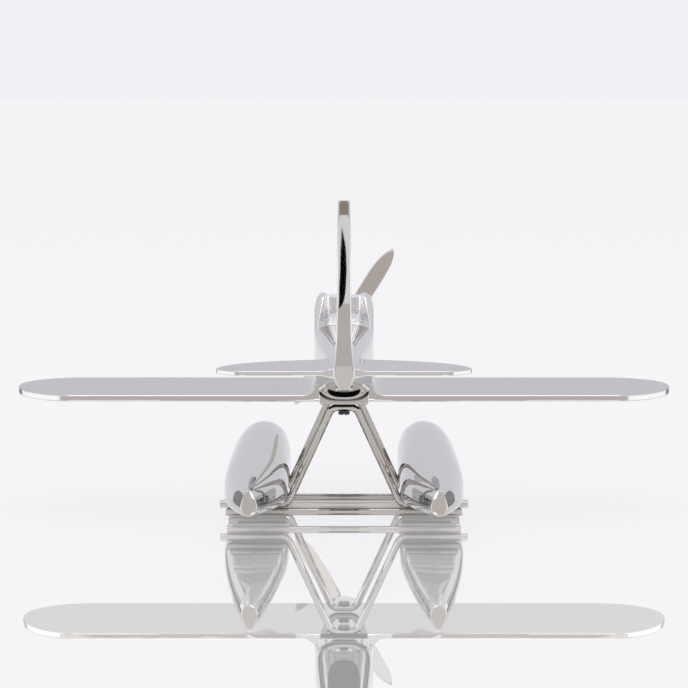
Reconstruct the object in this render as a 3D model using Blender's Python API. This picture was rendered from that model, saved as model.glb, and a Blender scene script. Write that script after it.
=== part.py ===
"""Polished metal desk model of a racing floatplane, built as an assembly of separate solids.

Frame: metres, +Y is the nose, +X the right-hand wing, +Z up.  The origin is on the table, in the
middle of the model's plan, so the float bottoms stand on z = 0.
"""
from math import cos, pi, radians, sin, sqrt

import bmesh
import bpy
from mathutils import Matrix, Vector

MM = 0.001
GAP = 0.3 * MM                     # clearance between neighbouring castings

# Overall form
WING_SPAN = 300 * MM
TAIL_END_Y = -131 * MM             # rear face of the fin
SPINNER_TIP_Y = 131 * MM
THRUST_Z = 72.3 * MM               # height of the propeller's axis

# Wing: one flat casting that passes under the fuselage
WING_TE_Y = 0 * MM
WING_CHORD = 56 * MM
WING_BOTTOM_Z = 53.0 * MM
WING_THICKNESS = 2.9 * MM
WING_EDGE = 0.6 * MM               # chamfer of the plate's edges
WING_TIP_ROUND = 29 * MM           # length of each rounded tip
WING_TIP_Y = 33 * MM               # where the tip reaches furthest out
WING_TIP_STEPS = 12
WING_FILLET = 5.4 * MM             # radius of the fillet against the fuselage
WING_FILLET_X = 13.6 * MM          # where the fillet meets the fuselage's side
WING_FILLET_FADE = 12 * MM         # length over which it dies away towards the leading edge
WING_FILLET_STEPS = 6

# Fuselage: sections from tail to nose, each made of a lower and an upper superellipse
TAIL_CONE_END_Y = -125 * MM        # where the fin's post takes over
NOSE_END_Y = 112 * MM
BODY_RING_HALF = 18                # steps round each half of a section
BODY_STEPS = 34                    # sections along the body
BODY_CROWD = 1.35                  # above 1, sections stand closer towards the nose
# y, half width, bottom, lower centre, upper centre, top (mm), lower power, upper power, valley (mm)
BODY_TABLE = (
    (-125, 4.2, 78.2, 82.4, 84.0, 86.6, 2.2, 2.2, 0.0),
    (-95, 6.5, 72.8, 79.5, 84.2, 86.9, 2.3, 2.2, 0.0),
    (-60, 9.2, 66.0, 75.5, 82.0, 87.2, 2.5, 2.3, 0.0),
    (-25, 11.8, 58.9, 71.0, 80.5, 87.3, 2.8, 2.4, 0.0),
    (-8, 12.8, 55.3, 69.0, 80.0, 87.3, 3.0, 2.5, 0.0),
    (6, 13.3, 55.0, 68.5, 80.5, 87.6, 3.0, 2.8, 0.1),
    (14, 13.4, 55.0, 68.5, 83.5, 93.2, 3.0, 3.6, 1.0),
    (22, 13.5, 55.0, 68.5, 86.0, 99.6, 3.0, 4.5, 1.9),
    (30, 13.5, 55.0, 68.5, 86.0, 99.9, 3.0, 4.5, 2.2),
    (58, 13.4, 55.0, 68.5, 84.5, 96.4, 3.0, 4.2, 2.1),
    (80, 12.6, 56.4, 69.0, 82.0, 92.3, 2.8, 3.6, 1.8),
    (97, 10.9, 59.8, 70.5, 77.6, 87.2, 2.4, 2.8, 1.0),
    (108, 8.7, 63.3, 71.8, 74.0, 82.0, 2.1, 2.2, 0.2),
    (112, 7.7, 64.6, 72.2, 72.6, 80.0, 2.0, 2.0, 0.0),
)
# Where the valley between the two humps is full depth and where it ends, as shares of the half width
VALLEY_EDGE = (0.50, 0.77)

# Cockpit: a scoop behind the two humps, wider at the rear, where it opens through the sides
COCKPIT_FRONT_HALF = 7.8 * MM
COCKPIT_REAR_HALF = 12.4 * MM
COCKPIT_FRONT_Y = 27 * MM
COCKPIT_REAR_Y = 5 * MM
COCKPIT_FLOOR_Z = 82 * MM
COCKPIT_TOP_Z = 103 * MM
COCKPIT_ROUND = 3 * MM
COCKPIT_STEPS = 4

# Fin and rudder post: horizontal sections, with a flat rear face
FIN_CHAMFER = 0.6 * MM
FIN_SIDE_STEPS = 5
FIN_SIDE_POWER = 2.6               # how full the sides stay towards the leading edge
FIN_LEADING_HALF = 0.1 * MM        # half width that is left at the leading edge
FIN_POST_Y = TAIL_CONE_END_Y - GAP
# z, width of the rear face (mm); the post stays behind FIN_POST_Y
FIN_POST_TABLE = ((78.0, 3.6), (78.8, 5.2), (80.4, 7.0), (82.0, 8.0), (84.0, 8.5), (86.0, 8.4))
# z, width of the rear face, y of the leading edge (mm)
FIN_BLADE_TABLE = (
    (82.0, 8.5, -84),
    (86.0, 8.4, -85),
    (88.5, 7.8, -87),
    (93.8, 6.7, -89.5),
    (101.6, 5.9, -93),
    (116.0, 5.6, -97.5),
    (131.0, 5.3, -102.5),
    (141.0, 5.1, -107),
    (147.5, 4.8, -112.5),
    (150.5, 4.5, -118),
    (151.5, 4.2, -122),
)

# Tailplane halves
TAIL_HALF_SPAN = 50.5 * MM
TAIL_TE_Y = -124 * MM
TAIL_ROOT_LE_Y = -89 * MM
TAIL_TIP_LE_Y = -106.6 * MM
TAIL_BOTTOM_Z = 82.6 * MM
TAIL_THICKNESS = 1.8 * MM
TAIL_EDGE = 0.35 * MM
TAIL_TIP_ROUND = 12 * MM
TAIL_ROOT_X = 3 * MM               # inner end, before the fuselage is cut out of it
TAIL_ROOT_SWELL = 1.8 * MM         # how much thicker the root is
TAIL_SWELL_X = 12 * MM             # where that swelling has died away
TAIL_INNER_STEPS = 8
TAIL_TIP_STEPS = 9

# Floats: sections from stern to bow
FLOAT_X = 39.2 * MM
FLOAT_TOP_STEPS = 14
FLOAT_CORNER_STEPS = 4
# y, half width, crown, shoulder, keel, rise of the chine, corner width, corner height (mm), crown's power
FLOAT_AFT_TABLE = (
    (-85, 3.4, 30.0, 22.6, 18.4, 0.0, 3.2, 4.0, 1.45),
    (-80, 4.7, 30.1, 21.8, 17.0, 0.2, 3.7, 4.0, 1.6),
    (-62, 8.4, 30.2, 19.4, 14.4, 0.8, 3.4, 3.4, 1.8),
    (-38, 11.9, 30.2, 17.4, 11.8, 0.6, 3.0, 3.0, 1.95),
    (-16, 13.8, 30.2, 16.2, 10.0, 0.2, 2.4, 2.4, 2.2),
    (-5, 14.2, 30.2, 16.0, 9.4, 0.0, 2.0, 2.2, 2.3),
    (16, 14.2, 30.2, 15.8, 6.4, 0.0, 2.0, 2.0, 2.4),
)
FLOAT_FORE_TABLE = (
    (16, 14.2, 30.2, 15.8, 0.0, 0.0, 1.2, 1.2, 2.4),
    (60, 13.9, 30.2, 15.8, 0.0, 0.0, 1.2, 1.2, 2.2),
    (82, 13.2, 29.8, 15.8, 0.4, 0.2, 1.6, 1.6, 2.0),
    (100, 11.7, 27.9, 16.0, 2.8, 0.8, 2.8, 2.4, 2.0),
    (114, 8.9, 25.2, 16.8, 6.8, 1.3, 3.4, 3.0, 2.0),
    (124, 5.2, 22.4, 17.6, 11.6, 0.9, 3.2, 2.8, 2.0),
    (129, 2.2, 20.4, 18.0, 15.2, 0.2, 1.8, 1.6, 2.0),
)
FLOAT_AFT_STEPS = 12
FLOAT_FORE_STEPS = 14

# Bent rods that carry the floats, and the spreader bars under them
ROD_RADIUS = 1.6 * MM
ROD_SIDES = 12
ROD_END_CHAMFER = 0.35 * MM
STRUT_TOP_Z = WING_BOTTOM_Z - GAP - ROD_RADIUS
STRUT_TOP_X = 5.44 * MM            # corner of the bent top, before it is rounded
STRUT_SPREAD = 0.455               # how far a leg goes out for each unit that it goes down
STRUT_FOOT_X = 55.5 * MM           # end of the foot, outside the float
STRUT_TOP_BEND = 4.0 * MM
STRUT_FOOT_BEND = 4.5 * MM
STRUT_BEND_STEPS = 5
SPREADER_HALF = 52.5 * MM
REAR_STRUT_Y = -5 * MM
REAR_SPREADER_Z = 3.9 * MM
FRONT_STRUT_Y = 39 * MM
FRONT_SPREADER_Z = ROD_RADIUS
ROD_PITCH = 2 * ROD_RADIUS + GAP   # a foot's height above the spreader bar that it lies on
GROOVE_REACH = 5 * MM              # how far the floats' groove is cut past the spreader bar's ends

# Saddle between the rear rod and the belly, and the screws under both rods
SADDLE_HALF_WIDTH = 11.05 * MM
SADDLE_HEIGHT = 4.9 * MM
SADDLE_FRONT_Y = WING_TE_Y - GAP
SADDLE_LENGTH = 8.6 * MM
SADDLE_ROUND = 1.2 * MM            # radius of its two lower corners
SADDLE_ROUND_STEPS = 4
SCREW_RADIUS = 2.55 * MM
SCREW_HEIGHT = 1.1 * MM
SCREW_EDGE = 0.3 * MM
SCREW_SIDES = 24

# Propeller
SPINNER_BASE_Y = 112.8 * MM
SPINNER_SIDES = 32
SPINNER_TIP_RADIUS = 0.3 * MM
# distance ahead of the base, radius (mm)
SPINNER_PROFILE = (
    (0.0, 6.6), (0.6, 7.4), (3.0, 7.7), (6.0, 7.4), (9.0, 6.6), (12.0, 5.3), (15.0, 3.6), (17.2, 1.7),
)
SPINNER_BORE = 1.6 * MM
SPINNER_BORE_DEPTH = 8 * MM
SHAFT_RADIUS = 1.25 * MM
SHAFT_REAR_Y = 104 * MM
SHAFT_FRONT_Y = 119 * MM
SHAFT_SIDES = 16
CUT_REACH = 2 * MM                 # how far a cutter runs past the face that it opens
BLADE_PLANE_Y = 118 * MM
BLADE_ANGLE = radians(31.5)        # from upright towards the right wing
BLADE_SIDE_STEPS = 5
# radius, chord, thickness, offset of the mid chord (mm), pitch (degrees)
BLADE_TABLE = (
    (4.0, 6.0, 2.6, 0.0, 42),
    (10.0, 8.0, 2.4, 0.0, 37),
    (17.0, 9.1, 2.0, 0.0, 31),
    (24.0, 9.3, 1.7, 0.0, 27),
    (31.0, 8.9, 1.45, 0.0, 23),
    (37.5, 7.7, 1.2, 0.2, 20),
    (41.5, 5.6, 1.0, 0.45, 18),
    (44.0, 3.4, 0.85, 0.55, 17),
    (45.6, 1.5, 0.7, 0.5, 17),
    (46.2, 0.5, 0.6, 0.45, 17),
)

# Finishes: name, colour, roughness
CHROME = ("chrome plate", (0.60, 0.60, 0.61), 0.06)
BRIGHT_STEEL = ("bright steel rod", (0.56, 0.55, 0.54), 0.12)
DARK_SCREW = ("dark screw", (0.05, 0.05, 0.055), 0.35)
TIP_LEAST_SHARE = 0.03             # share of the chord that is left at a rounded tip's very end


def clear_scene():
    """Remove whatever the scene holds."""
    for item in list(bpy.data.objects):
        bpy.data.objects.remove(item, do_unlink=True)


def finish_material(node, finish):
    """A Principled material of the node's own."""
    label, colour, roughness = finish
    material = bpy.data.materials.new(f"{label} of {node}")
    material.use_nodes = True
    shader = material.node_tree.nodes["Principled BSDF"]
    shader.inputs["Base Color"].default_value = (*colour, 1.0)
    shader.inputs["Metallic"].default_value = 1.0
    shader.inputs["Roughness"].default_value = roughness
    return material


def add_object(name, bm, finish=None, parent=None, sharp=30):
    """Turn a bmesh into an object; without a finish it is a cutter and stays out of the model."""
    bmesh.ops.remove_doubles(bm, verts=bm.verts, dist=1e-6)
    bmesh.ops.recalc_face_normals(bm, faces=bm.faces)
    mesh = bpy.data.meshes.new(name)
    bm.to_mesh(mesh)
    bm.free()
    item = bpy.data.objects.new(name, mesh)
    bpy.context.scene.collection.objects.link(item)
    if finish is None:
        item.hide_render = True
        item.display_type = "WIRE"
        return item
    mesh.materials.append(finish_material(name, finish))
    mesh.shade_smooth()
    mesh.set_sharp_from_angle(angle=radians(sharp))
    if parent is not None:
        item.parent = parent
        item.matrix_parent_inverse = parent.matrix_world.inverted()
    return item


def boolean(item, other, operation):
    """Cut another solid out of this one, or join it on."""
    modifier = item.modifiers.new(operation.lower(), "BOOLEAN")
    modifier.operation = operation
    modifier.solver = "EXACT"
    modifier.object = other


def smooth_row(table, place):
    """A row of a table at any place along its first column.

    Each value follows a cubic with monotone slopes, so the curve never swings past its rows.
    """
    rows = [list(row) for row in table]
    index = 0
    while index < len(rows) - 2 and place > rows[index + 1][0]:
        index += 1
    low, high = rows[index], rows[index + 1]
    width = high[0] - low[0]
    s = min(max((place - low[0]) / width, 0.0), 1.0)

    def slope(at, column):
        """Slope at a row: the harmonic mean of the two neighbouring slopes, or none at a turn."""
        sides = [
            (rows[k + 1][column] - rows[k][column]) / (rows[k + 1][0] - rows[k][0])
            for k in (at - 1, at) if 0 <= k < len(rows) - 1
        ]
        if len(sides) == 1:
            return sides[0]
        if sides[0] * sides[1] <= 0:
            return 0.0
        return 2 * sides[0] * sides[1] / (sides[0] + sides[1])

    values = [place]
    for column in range(1, len(low)):
        start, end = low[column], high[column]
        first, last = slope(index, column) * width, slope(index + 1, column) * width
        values.append(
            start * (1 + 2 * s) * (1 - s) ** 2 + first * s * (1 - s) ** 2
            + end * (3 - 2 * s) * s ** 2 + last * (s - 1) * s ** 2
        )
    return values


def skin(bm, rings):
    """Close a row of equal rings of points into one solid with flat ends."""
    loops = [[bm.verts.new(point) for point in ring] for ring in rings]
    count = len(loops[0])
    for near, far in zip(loops, loops[1:]):
        for k in range(count):
            after = (k + 1) % count
            bm.faces.new((near[k], near[after], far[after], far[k]))
    bm.faces.new(loops[0])
    bm.faces.new(loops[-1])


def power_arc(half_width, height, power, steps):
    """Points (x, z) over a half superellipse from +x to -x, without the two ends' sides."""
    points = []
    for k in range(steps + 1):
        turn = pi * k / steps
        c, s = cos(turn), max(sin(turn), 0.0)
        x = half_width * (1 if c >= 0 else -1) * abs(c) ** (2 / power)
        points.append((x, height * s ** (2 / power)))
    return points


def grow(ring, distance):
    """Offset a closed ring of (x, z) points outwards by a distance."""
    grown = []
    for k, point in enumerate(ring):
        before, after = ring[k - 1], ring[(k + 1) % len(ring)]
        along = Vector((after[0] - before[0], after[1] - before[1])).normalized()
        grown.append((point[0] + along.y * distance, point[1] - along.x * distance))
    return grown


def body_ring(y, offset=0.0):
    """Section of the fuselage at y: lower and upper superellipse, with a valley between two humps."""
    row = smooth_row(BODY_TABLE, y / MM)
    half, bottom, low, high, top = (value * MM for value in row[1:6])
    low_power, high_power = row[6], row[7]
    valley = row[8] * MM
    ring = []
    for x, rise in power_arc(half, top - high, high_power, BODY_RING_HALF):
        start, end = VALLEY_EDGE
        share = min(max((end - abs(x) / half) / (end - start), 0.0), 1.0)
        dip = valley * share * share * (3 - 2 * share)
        ring.append((x, high + rise - dip))
    for x, rise in power_arc(half, low - bottom, low_power, BODY_RING_HALF):
        ring.append((-x, low - rise))
    if offset:
        ring = grow(ring, offset)
    return [Vector((x, y, z)) for x, z in ring]


def body_solid(start, end, offset=0.0):
    """The fuselage's skin from start to end as a bmesh, grown by an offset when it is a cutter."""
    bm = bmesh.new()
    rings = []
    for k in range(BODY_STEPS + 1):
        # More sections near the nose and the cockpit than along the straight tail cone
        share = 1 - (1 - k / BODY_STEPS) ** BODY_CROWD
        rings.append(body_ring(start + (end - start) * share, offset))
    if offset:
        for ring, shift in ((rings[0], -offset), (rings[-1], offset)):
            for point in ring:
                point.y += shift
    skin(bm, rings)
    return bm


def bend_path(corners, bends, steps):
    """A path through flat corners, with each inner corner rounded to its bend radius."""
    path = [Vector(corners[0])]
    for k in range(1, len(corners) - 1):
        corner = Vector(corners[k])
        back = (Vector(corners[k - 1]) - corner).normalized()
        ahead = (Vector(corners[k + 1]) - corner).normalized()
        half_angle = back.angle(ahead) / 2
        reach = bends[k - 1] / (sin(half_angle) / cos(half_angle))
        centre = corner + (back + ahead).normalized() * (bends[k - 1] / sin(half_angle))
        first = (corner + back * reach - centre).normalized()
        last = (corner + ahead * reach - centre).normalized()
        for s in range(steps + 1):
            path.append(centre + first.slerp(last, s / steps) * bends[k - 1])
    path.append(Vector(corners[-1]))
    return path


def scoop_solid():
    """The cockpit's space: a tub that widens to the rear, with round front corners and a round floor."""
    bm = bmesh.new()
    rings = []
    levels = [pi / 2 * k / COCKPIT_STEPS for k in range(COCKPIT_STEPS + 1)]
    floor = [(COCKPIT_FLOOR_Z + COCKPIT_ROUND * (1 - cos(t)), COCKPIT_ROUND * (1 - sin(t))) for t in levels]
    for z, inset in (*floor, (COCKPIT_TOP_Z, 0.0)):
        rear, front = COCKPIT_REAR_Y + inset, COCKPIT_FRONT_Y - inset
        rear_half, front_half = COCKPIT_REAR_HALF - inset, COCKPIT_FRONT_HALF - inset
        corners = [(rear_half, rear), (front_half, front), (-front_half, front), (-rear_half, rear)]
        outline = bend_path(corners, (COCKPIT_ROUND, COCKPIT_ROUND), COCKPIT_STEPS)
        rings.append([Vector((x, y, z)) for x, y in outline])
    skin(bm, rings)
    return bm


def make_fuselage():
    """Fuselage with its cockpit scoop and the bore for the propeller's shaft."""
    fuselage = add_object("fuselage", body_solid(TAIL_CONE_END_Y, NOSE_END_Y), CHROME)
    boolean(fuselage, add_object("cockpit_cutter", scoop_solid()), "DIFFERENCE")
    bore_radius = SHAFT_RADIUS + GAP
    bore = turned([(SHAFT_REAR_Y - GAP, bore_radius), (NOSE_END_Y + CUT_REACH, bore_radius)], SHAFT_SIDES)
    boolean(fuselage, add_object("shaft_bore_cutter", bore), "DIFFERENCE")
    return fuselage


def turned(profile, sides):
    """A solid turned about the thrust line from (y, radius) points; the ends close on flat discs."""
    bm = bmesh.new()
    rings = []
    for y, radius in profile:
        turns = [2 * pi * k / sides for k in range(sides)]
        rings.append([Vector((radius * cos(a), y, THRUST_Z + radius * sin(a))) for a in turns])
    skin(bm, rings)
    return bm


def plate_ring(x, rear, front, bottom, top, edge):
    """Section of a flat plate at x: a rectangle with chamfered edges."""
    edge = min(edge, (front - rear) / 4, (top - bottom) / 3)
    corners = (
        (rear + edge, bottom), (front - edge, bottom), (front, bottom + edge), (front, top - edge),
        (front - edge, top), (rear + edge, top), (rear, top - edge), (rear, bottom + edge),
    )
    return [Vector((x, y, z)) for y, z in corners]


def tip_places(inner, outer, steps):
    """Stations from inner to outer that crowd towards the outer end, as on a circle."""
    return [inner + (outer - inner) * sin(pi / 2 * k / steps) for k in range(steps + 1)]


def tip_share(x, start, end):
    """Share of the full chord that is left at x in an elliptical tip from start to end."""
    s = min(max((x - start) / (end - start), 0.0), 1.0)
    return max(sqrt(max(1 - s * s, 0.0)), TIP_LEAST_SHARE)


def wing_plate():
    """The wing's plate: each tip is two quarter ellipses that meet at WING_TIP_Y."""
    half_span = WING_SPAN / 2
    tip_start = half_span - WING_TIP_ROUND
    right = tip_places(tip_start, half_span, WING_TIP_STEPS)
    rings = []
    for x in [-x for x in reversed(right)] + right:
        share = tip_share(abs(x), tip_start, half_span)
        rear = WING_TIP_Y - (WING_TIP_Y - WING_TE_Y) * share
        front = WING_TIP_Y + (WING_TE_Y + WING_CHORD - WING_TIP_Y) * share
        rings.append(plate_ring(x, rear, front, WING_BOTTOM_Z, WING_BOTTOM_Z + WING_THICKNESS, WING_EDGE))
    bm = bmesh.new()
    skin(bm, rings)
    return bm


def wing_root(y, size):
    """Section of the wing's root at y: on each side a quarter circle, hollow side up, of a given size."""
    top = WING_BOTTOM_Z + WING_THICKNESS
    middle = WING_BOTTOM_Z + WING_THICKNESS / 2
    radius = WING_FILLET * size
    outline = []
    for k in range(WING_FILLET_STEPS + 1):
        turn = pi * (1.5 - 0.5 * k / WING_FILLET_STEPS)
        outline.append((WING_FILLET_X + radius + radius * cos(turn), top + radius + radius * sin(turn)))
    outline.insert(0, (outline[0][0], middle))
    ring = outline + [(-x, z) for x, z in reversed(outline)]
    return [Vector((x, y, z)) for x, z in ring]


def make_wing():
    """The wing: a plate with root fillets that die away towards the leading edge."""
    wing = add_object("wing", wing_plate(), CHROME)
    rear, front = WING_TE_Y + WING_EDGE, WING_TE_Y + WING_CHORD - WING_EDGE
    rings = [wing_root(rear, 1.0)]
    for k in range(WING_FILLET_STEPS):
        share = sin(pi / 2 * k / WING_FILLET_STEPS)
        rings.append(wing_root(front - WING_FILLET_FADE * (1 - share), sqrt(1 - share * share)))
    bm = bmesh.new()
    skin(bm, rings)
    boolean(wing, add_object("wing_fillet_tool", bm), "UNION")
    return wing


def make_tailplane(side, name):
    """One half of the tailplane: a thin plate that swells a little towards its root."""
    tip_start = TAIL_HALF_SPAN - TAIL_TIP_ROUND
    inner = tip_start - TAIL_ROOT_X
    places = [TAIL_ROOT_X + inner * k / TAIL_INNER_STEPS for k in range(TAIL_INNER_STEPS)]
    places += tip_places(tip_start, TAIL_HALF_SPAN, TAIL_TIP_STEPS)
    rings = []
    for x in places:
        share = x / TAIL_HALF_SPAN
        front = TAIL_ROOT_LE_Y + (TAIL_TIP_LE_Y - TAIL_ROOT_LE_Y) * share ** 2
        left = tip_share(x, tip_start, TAIL_HALF_SPAN)
        middle = (front + TAIL_TE_Y) / 2
        reach = (front - TAIL_TE_Y) / 2 * left
        swell = TAIL_ROOT_SWELL / 2 * max(1 - x / TAIL_SWELL_X, 0.0) ** 2
        bottom, top = TAIL_BOTTOM_Z - swell, TAIL_BOTTOM_Z + TAIL_THICKNESS + swell
        rings.append(plate_ring(side * x, middle - reach, middle + reach, bottom, top, TAIL_EDGE))
    bm = bmesh.new()
    skin(bm, rings)
    return add_object(name, bm, CHROME)


def fin_ring(z, width, front):
    """Horizontal section of the fin: a flat rear face with chamfers, then a taper to the front."""
    half = width / 2
    chamfer = min(FIN_CHAMFER, half / 2)
    rear = TAIL_END_Y + chamfer
    side = [(half - chamfer, TAIL_END_Y), (half, rear)]
    for k in range(1, FIN_SIDE_STEPS + 1):
        s = k / FIN_SIDE_STEPS
        reach = half * sqrt(max(1 - s ** FIN_SIDE_POWER, 0.0)) + FIN_LEADING_HALF
        side.append((reach, rear + (front - rear) * s))
    ring = side + [(-x, y) for x, y in reversed(side)]
    return [Vector((x, y, z)) for x, y in ring]


def make_fin():
    """Fin, rudder and tail post in one casting, whose rear face is flat from top to bottom."""
    blade = bmesh.new()
    skin(blade, [fin_ring(z * MM, width * MM, front * MM) for z, width, front in FIN_BLADE_TABLE])
    fin = add_object("fin", blade, CHROME, sharp=25)
    post = bmesh.new()
    rings = []
    for z, width in FIN_POST_TABLE:
        half = width * MM / 2
        chamfer = min(FIN_CHAMFER, half / 2)
        side = [(half - chamfer, TAIL_END_Y), (half, TAIL_END_Y + chamfer), (half, FIN_POST_Y)]
        ring = side + [(-x, y) for x, y in reversed(side)]
        rings.append([Vector((x, y, z * MM)) for x, y in ring])
    skin(post, rings)
    boolean(fin, add_object("fin_post_tool", post), "UNION")
    return fin


def float_ring(row, side):
    """Section of a float: a domed top, upright sides, rounded corners and a flat or V bottom."""
    y, half, crown, shoulder, keel, chine, corner_x, corner_z = (value * MM for value in row[:8])
    ring = [(x, shoulder + rise) for x, rise in power_arc(half, crown - shoulder, row[8], FLOAT_TOP_STEPS)]
    corner = []
    for k in range(FLOAT_CORNER_STEPS + 1):
        turn = pi / 2 * k / FLOAT_CORNER_STEPS
        x = -(half - corner_x) - corner_x * cos(turn)
        corner.append((x, keel + chine + corner_z * (1 - sin(turn))))
    ring += corner + [(0.0, keel)] + [(-x, z) for x, z in reversed(corner)]
    return [Vector((side * FLOAT_X + x, y, z)) for x, z in ring]


def float_body(table, steps, side):
    """Part of a float's hull between the first and the last row of its table."""
    start, end = table[0][0], table[-1][0]
    rings = []
    for k in range(steps + 1):
        rings.append(float_ring(smooth_row(table, start + (end - start) * k / steps), side))
    bm = bmesh.new()
    skin(bm, rings)
    return bm


def rod(path, radius, y, sides=ROD_SIDES, end_chamfer=ROD_END_CHAMFER):
    """A round rod along a path of (x, z) points at one y, with chamfered ends."""
    rings = []
    for k, point in enumerate(path):
        before, after = path[max(k - 1, 0)], path[min(k + 1, len(path) - 1)]
        along = (after - before).normalized()
        across = Vector((-along.y, along.x))
        # A mitred ring keeps the rod's full width where the path turns
        back, ahead = (point - before), (after - point)
        stretch = 1.0
        if back.length > 0 and ahead.length > 0:
            stretch = 1 / cos(back.angle(ahead) / 2)
        ring = []
        for s in range(sides):
            turn = 2 * pi * s / sides
            offset = across * (radius * stretch * cos(turn))
            ring.append(Vector((point.x + offset.x, y + radius * sin(turn), point.y + offset.y)))
        rings.append(ring)
    if end_chamfer:
        for at, inward in ((0, path[1] - path[0]), (-1, path[-2] - path[-1])):
            shift = inward.normalized() * end_chamfer
            centre = Vector((path[at].x, y, path[at].y))
            scale = 1 - end_chamfer / radius
            cap = [centre + (point - centre) * scale for point in rings[at]]
            rings[at] = [point + Vector((shift.x, 0, shift.y)) for point in rings[at]]
            if at == 0:
                rings.insert(0, cap)
            else:
                rings.append(cap)
    bm = bmesh.new()
    skin(bm, rings)
    return bm


def strut_path(foot_z):
    """Centre line of a bent strut, from one foot over the top to the other foot."""
    foot_corner = STRUT_TOP_X + STRUT_SPREAD * (STRUT_TOP_Z - foot_z)
    right = [(STRUT_TOP_X, STRUT_TOP_Z), (foot_corner, foot_z), (STRUT_FOOT_X, foot_z)]
    corners = [(-x, z) for x, z in reversed(right)] + right
    bends = (STRUT_FOOT_BEND, STRUT_TOP_BEND, STRUT_TOP_BEND, STRUT_FOOT_BEND)
    return bend_path(corners, bends, STRUT_BEND_STEPS)


def box_solid(low, high):
    """A plain box between two corners, for a cutter."""
    bm = bmesh.new()
    centre = [(a + b) / 2 for a, b in zip(low, high)]
    size = [b - a for a, b in zip(low, high)]
    bmesh.ops.create_cube(bm, size=1.0, matrix=Matrix.Translation(centre) @ Matrix.Diagonal((*size, 1.0)))
    return bm


def make_undercarriage():
    """Both bent struts with their spreader bars, and the cutters that make room for them."""
    cutters = []
    for place, y, spreader_z in (
        ("front", FRONT_STRUT_Y, FRONT_SPREADER_Z),
        ("rear", REAR_STRUT_Y, REAR_SPREADER_Z),
    ):
        path = strut_path(spreader_z + ROD_PITCH)
        add_object(f"strut_{place}", rod(path, ROD_RADIUS, y), BRIGHT_STEEL)
        bar = [Vector((-SPREADER_HALF, spreader_z)), Vector((SPREADER_HALF, spreader_z))]
        add_object(f"spreader_{place}", rod(bar, ROD_RADIUS, y), BRIGHT_STEEL)
        room = rod(path, ROD_RADIUS + GAP, y, end_chamfer=0)
        cutters.append(add_object(f"strut_{place}_room", room))
    half = ROD_RADIUS + GAP
    reach = SPREADER_HALF + GROOVE_REACH
    groove = box_solid(
        (-reach, FRONT_STRUT_Y - half, -CUT_REACH),
        (reach, FRONT_STRUT_Y + half, FRONT_SPREADER_Z + ROD_PITCH),
    )
    cutters.append(add_object("groove_room", groove))
    return cutters


def make_float(side, name, cutters):
    """One float: a stepped hull, grooved underneath for the front rods."""
    hull = add_object(name, float_body(FLOAT_FORE_TABLE, FLOAT_FORE_STEPS, side), CHROME)
    stern = add_object(f"{name}_stern_tool", float_body(FLOAT_AFT_TABLE, FLOAT_AFT_STEPS, side))
    boolean(hull, stern, "UNION")
    for cutter in cutters:
        boolean(hull, cutter, "DIFFERENCE")
    return hull


def make_saddle():
    """The saddle block under the belly: flat below with round corners, hollowed to fit the fuselage."""
    top = WING_BOTTOM_Z + SADDLE_HEIGHT
    corners = [
        (SADDLE_HALF_WIDTH, top), (SADDLE_HALF_WIDTH, WING_BOTTOM_Z),
        (-SADDLE_HALF_WIDTH, WING_BOTTOM_Z), (-SADDLE_HALF_WIDTH, top),
    ]
    outline = bend_path(corners, (SADDLE_ROUND, SADDLE_ROUND), SADDLE_ROUND_STEPS)
    bm = bmesh.new()
    ends = (SADDLE_FRONT_Y - SADDLE_LENGTH, SADDLE_FRONT_Y)
    skin(bm, [[Vector((x, y, z)) for x, z in outline] for y in ends])
    return add_object("saddle", bm, CHROME)


def make_screw(name, y):
    """A low round screw head against the under side of a strut's top."""
    top = STRUT_TOP_Z - ROD_RADIUS - GAP
    bm = bmesh.new()
    rings = []
    for z, radius in (
        (top - SCREW_HEIGHT, SCREW_RADIUS - SCREW_EDGE),
        (top - SCREW_HEIGHT + SCREW_EDGE, SCREW_RADIUS),
        (top, SCREW_RADIUS),
    ):
        turns = [2 * pi * k / SCREW_SIDES for k in range(SCREW_SIDES)]
        rings.append([Vector((radius * cos(a), y + radius * sin(a), z)) for a in turns])
    skin(bm, rings)
    return add_object(name, bm, DARK_SCREW)


def make_spinner(hub):
    """The spinner: an ogive with a blind bore for the shaft."""
    profile = [(SPINNER_BASE_Y + ahead * MM, radius * MM) for ahead, radius in SPINNER_PROFILE]
    profile.append((SPINNER_TIP_Y, SPINNER_TIP_RADIUS))
    spinner = add_object("spinner", turned(profile, SPINNER_SIDES), CHROME, parent=hub)
    bore = [(SPINNER_BASE_Y - CUT_REACH, SPINNER_BORE), (SPINNER_BASE_Y + SPINNER_BORE_DEPTH, SPINNER_BORE)]
    boolean(spinner, add_object("spinner_bore_cutter", turned(bore, SHAFT_SIDES)), "DIFFERENCE")
    room = [(y, radius + GAP) for y, radius in profile]
    return add_object("spinner_room", turned(room, SPINNER_SIDES))


def blade_ring(row, direction, across):
    """Section of a blade: a lens across the blade's direction, turned by its pitch."""
    radius, chord, thickness, offset = (value * MM for value in row[:4])
    pitch = radians(row[4])
    along = across * cos(pitch) + Vector((0, 1, 0)) * sin(pitch)
    normal = direction.cross(along)
    centre = Vector((0, BLADE_PLANE_Y, THRUST_Z)) + direction * radius + across * offset
    side = []
    for k in range(1, BLADE_SIDE_STEPS):
        s = 2 * k / BLADE_SIDE_STEPS - 1
        side.append((chord / 2 * s, thickness / 2 * (1 - s * s)))
    lens = [(-chord / 2, 0.0)] + side + [(chord / 2, 0.0)] + [(u, -v) for u, v in reversed(side)]
    return [centre + along * u + normal * v for u, v in lens]


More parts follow.
